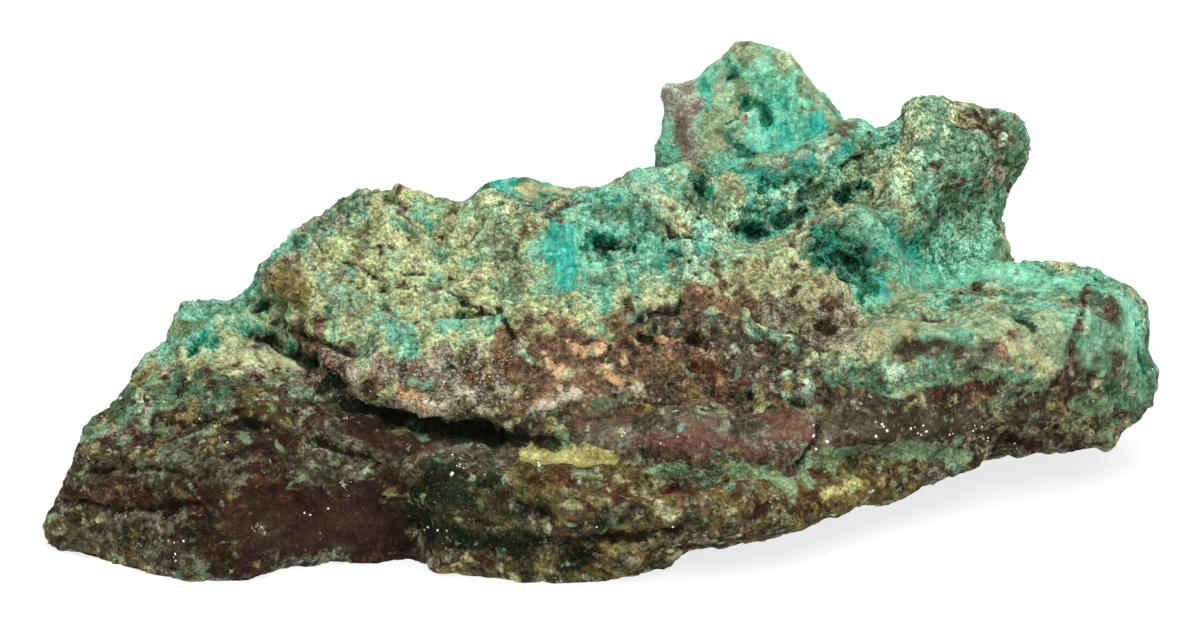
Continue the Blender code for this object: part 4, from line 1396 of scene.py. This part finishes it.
def grained_and_shaded(paint, ore, colour, masks, green, teal):
    """The colour with light grains and dark pores and with painted shade and highlight, where
    green shadows keep their colour.
    """
    deep = masks["deep"]
    # Grain tone with painted shading: crumbs lighter in their middles and darker at their edges,
    # painted shade in hollows and dips, and painted highlight on crests.
    tone_and_shade = ore.grain * 0.45 + ore.tear * 0.3 + ore.mosaic * 0.25 + (0.42 - ore.pitted) * 0.4
    tone_and_shade = tone_and_shade + (0.5 - ore.hollow) * 0.37 + (0.5 - ore.dip) * 0.15
    value = paint.step(tone_and_shade, 0.15, 0.85, DARKEST_SHADED_GRAIN, LIGHTEST_LIT_GRAIN)
    # Caves and crisp places get more contrast; crisp places that are not caves are painted 40 %
    # lighter, painted light that lifts the valley out of its own shade.
    value = value + (value - 1.0) * (deep * 0.5 + ore.crisp * 0.4)
    value = value * (ore.crisp * (1.0 - deep) * 0.4 + 1.0)
    plain = masks["maroon"] * 0.3 + ore.calm * 0.56 + masks["rust"] * 0.3
    value = value + (1.0 - value) * plain
    value = value * (green * 0.42 + 1.0)
    ruddy = paint.math("MINIMUM", value ** (teal * 0.9 + 1.0), value)
    leafy = paint.math("MINIMUM", value ** (1.0 - teal * 0.35), value)
    bluish = paint.math("MINIMUM", value ** (1.0 - teal * 0.3), value ** 1.15)
    colour = paint.times(colour, ruddy, leafy, bluish)
    # Painted facet shading: in plain green places each cell is a little lighter or darker, as
    # facets turned to the light.
    facet = 1.0 + (ore.plane - 0.5) * ore.calm * green * 0.3
    return paint.times(colour, facet, facet, facet)


def detailed_and_shaded(paint, ore, colour, masks, green, teal):
    """The colour with its small details over it, with painted shade in hollows and cracks."""
    mauve = masks["mauve"]
    web = paint.line(ore.tear, 0.5, 0.07, 0.01)
    hair = paint.line(ore.haze, 0.5, 0.02, 0.005)
    pores = paint.step(ore.mosaic - ore.pitted * 0.3, 0.84, 0.88)
    specks = paint.step(ore.dust * 0.5 + ore.fray * 0.5, 0.66, 0.76)
    pale = paint.step(ore.spark * 0.5 + ore.nick * 0.5 + mauve * 0.09, 0.7, 0.76)
    slit = paint.line(ore.haze, 0.45, 0.07, 0.02)
    seam = paint.line(ore.drift, 0.5, 0.03, 0.005)
    # Painted shade: pit darkens hollows, crack paints cracks and holes near black.
    pit = paint.step(ore.hollow + (ore.dust - 0.5) * 0.35, 0.66, 1.0)
    crack = paint.step(ore.cut + (ore.fray - 0.5) * 0.7, 0.05, -0.2)
    # From the lowest to the uppermost: a pale net over teal, hairlines over plain crust, pores,
    # brown specks, pale grains, slits in mauve, seams in rust, painted shade in hollows, and
    # cracks painted near black as their shade.
    for amount, over in (
            (web * teal * (0.32 - ore.calm * 0.22), ink(*NET_GREEN)),
            (hair * ore.calm * green * 0.7, ink(*HAIR_BROWN)),
            (pores * green * (0.6 - ore.calm * 0.4), ink(*PORE_GREEN)),
            (specks * (green * 0.65 - teal * 0.45), ink(*SPECK_BROWN)),
            (pale * (mauve * 0.6 + 0.2 - masks["maroon"] * 0.15), ink(*PALE_GRAIN)),
            (slit * mauve * 0.8, ink(*SLIT_BROWN)),
            (seam * masks["rust"] * 0.6, ink(*SEAM_ORANGE)),
            (pit * 0.6, paint.mix(green, ink(*BROWN_SHADE), ink(*GREEN_SHADE))),
            (crack * 0.85, ink(*CRACK_SHADE))):
        colour = paint.mix(amount, colour, over)
    return colour


def copper_ore():
    """Chrysocolla and malachite crust over iron-rich rock."""
    paint = Paint("copper_ore_skin", Specular_IOR_Level=0.05)
    ore = ore_patterns(paint)
    colour, masks = layered(paint, ore)
    green, teal = greens_of(paint, colour)
    colour = grained_and_shaded(paint, ore, colour, masks, green, teal)
    colour = detailed_and_shaded(paint, ore, colour, masks, green, teal)
    gloss = 0.9 - masks["maroon"] * 0.25 - teal * 0.15 - masks["quartz"] * 0.45
    gloss = gloss + (ore.dust - 0.5) * 0.15
    height = (ore.grain * 0.25 + ore.tear * 0.45 - ore.pitted * 0.3) * (1.0 - ore.calm * 0.55)
    bump = paint.node("ShaderNodeBump", Strength=1.0, Distance=BUMP_HEIGHT * MM, Height=height)
    paint.feed(paint.shader.inputs["Base Color"], colour)
    paint.feed(paint.shader.inputs["Roughness"], gloss)
    paint.feed(paint.shader.inputs["Normal"], bump.outputs[0])
    return paint.material


def quartz():
    """Clear white quartz, bright where light strikes it."""
    return Paint("quartz_glint", Base_Color=(0.74, 0.74, 0.68), Roughness=0.3).material


def floor_paint():
    """Plain pale floor."""
    return Paint("pale_floor", Base_Color=(0.2, 0.2, 0.2), Roughness=0.9,
                 Emission_Color=(1.0, 1.0, 1.0), Emission_Strength=0.77).material


# ---------------------------------------------------------------- stage

def set_camera():
    """A camera at the viewing angle."""
    data = bpy.data.cameras.new("view")
    data.sensor_width = SENSOR
    data.lens = SENSOR * CAMERA_DISTANCE / (VIEW_WIDTH * DOT)
    data.clip_start = 0.01
    camera = new_object("view", data)
    camera.location = CAMERA_PLACE * MM
    camera.rotation_euler = (math.pi / 2 - CAMERA_ELEVATION, 0.0, 0.0)
    bpy.context.scene.camera = camera


def set_stage():
    """Pale floor, white surroundings and soft square lamps that look at the stone."""
    only()
    bpy.ops.mesh.primitive_plane_add(size=FLOOR_SIZE, location=(0.0, 0.0, 0.0))
    floor = bpy.context.object
    floor.name = "floor"
    floor.data.materials.append(floor_paint())
    world = bpy.data.worlds.new("studio")
    bpy.context.scene.world = world
    world.use_nodes = True
    backdrop = world.node_tree.nodes["Background"]
    backdrop.inputs["Color"].default_value = (1.0, 1.0, 1.0, 1.0)
    backdrop.inputs["Strength"].default_value = SKY_STRENGTH
    for name, (place, size, power) in LAMPS.items():
        data = bpy.data.lights.new(name, "AREA")
        data.size = size
        data.energy = power
        lamp = new_object(name, data)
        lamp.location = place
        aim = CAMERA_TARGET * MM - Vector(place)
        lamp.rotation_euler = aim.to_track_quat("-Z", "Y").to_euler()
    bpy.context.scene.view_settings.view_transform = "Standard"


stone = make_stone()
stone.data.materials.append(copper_ore())
glints = make_glints(stone)
glints.data.materials.append(quartz())
for piece in (stone, glints):
    set_points(piece.data, points_of(piece.data) * MM)
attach(glints, "root")
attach(stone, "root")
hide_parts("stone")
set_stage()
set_camera()
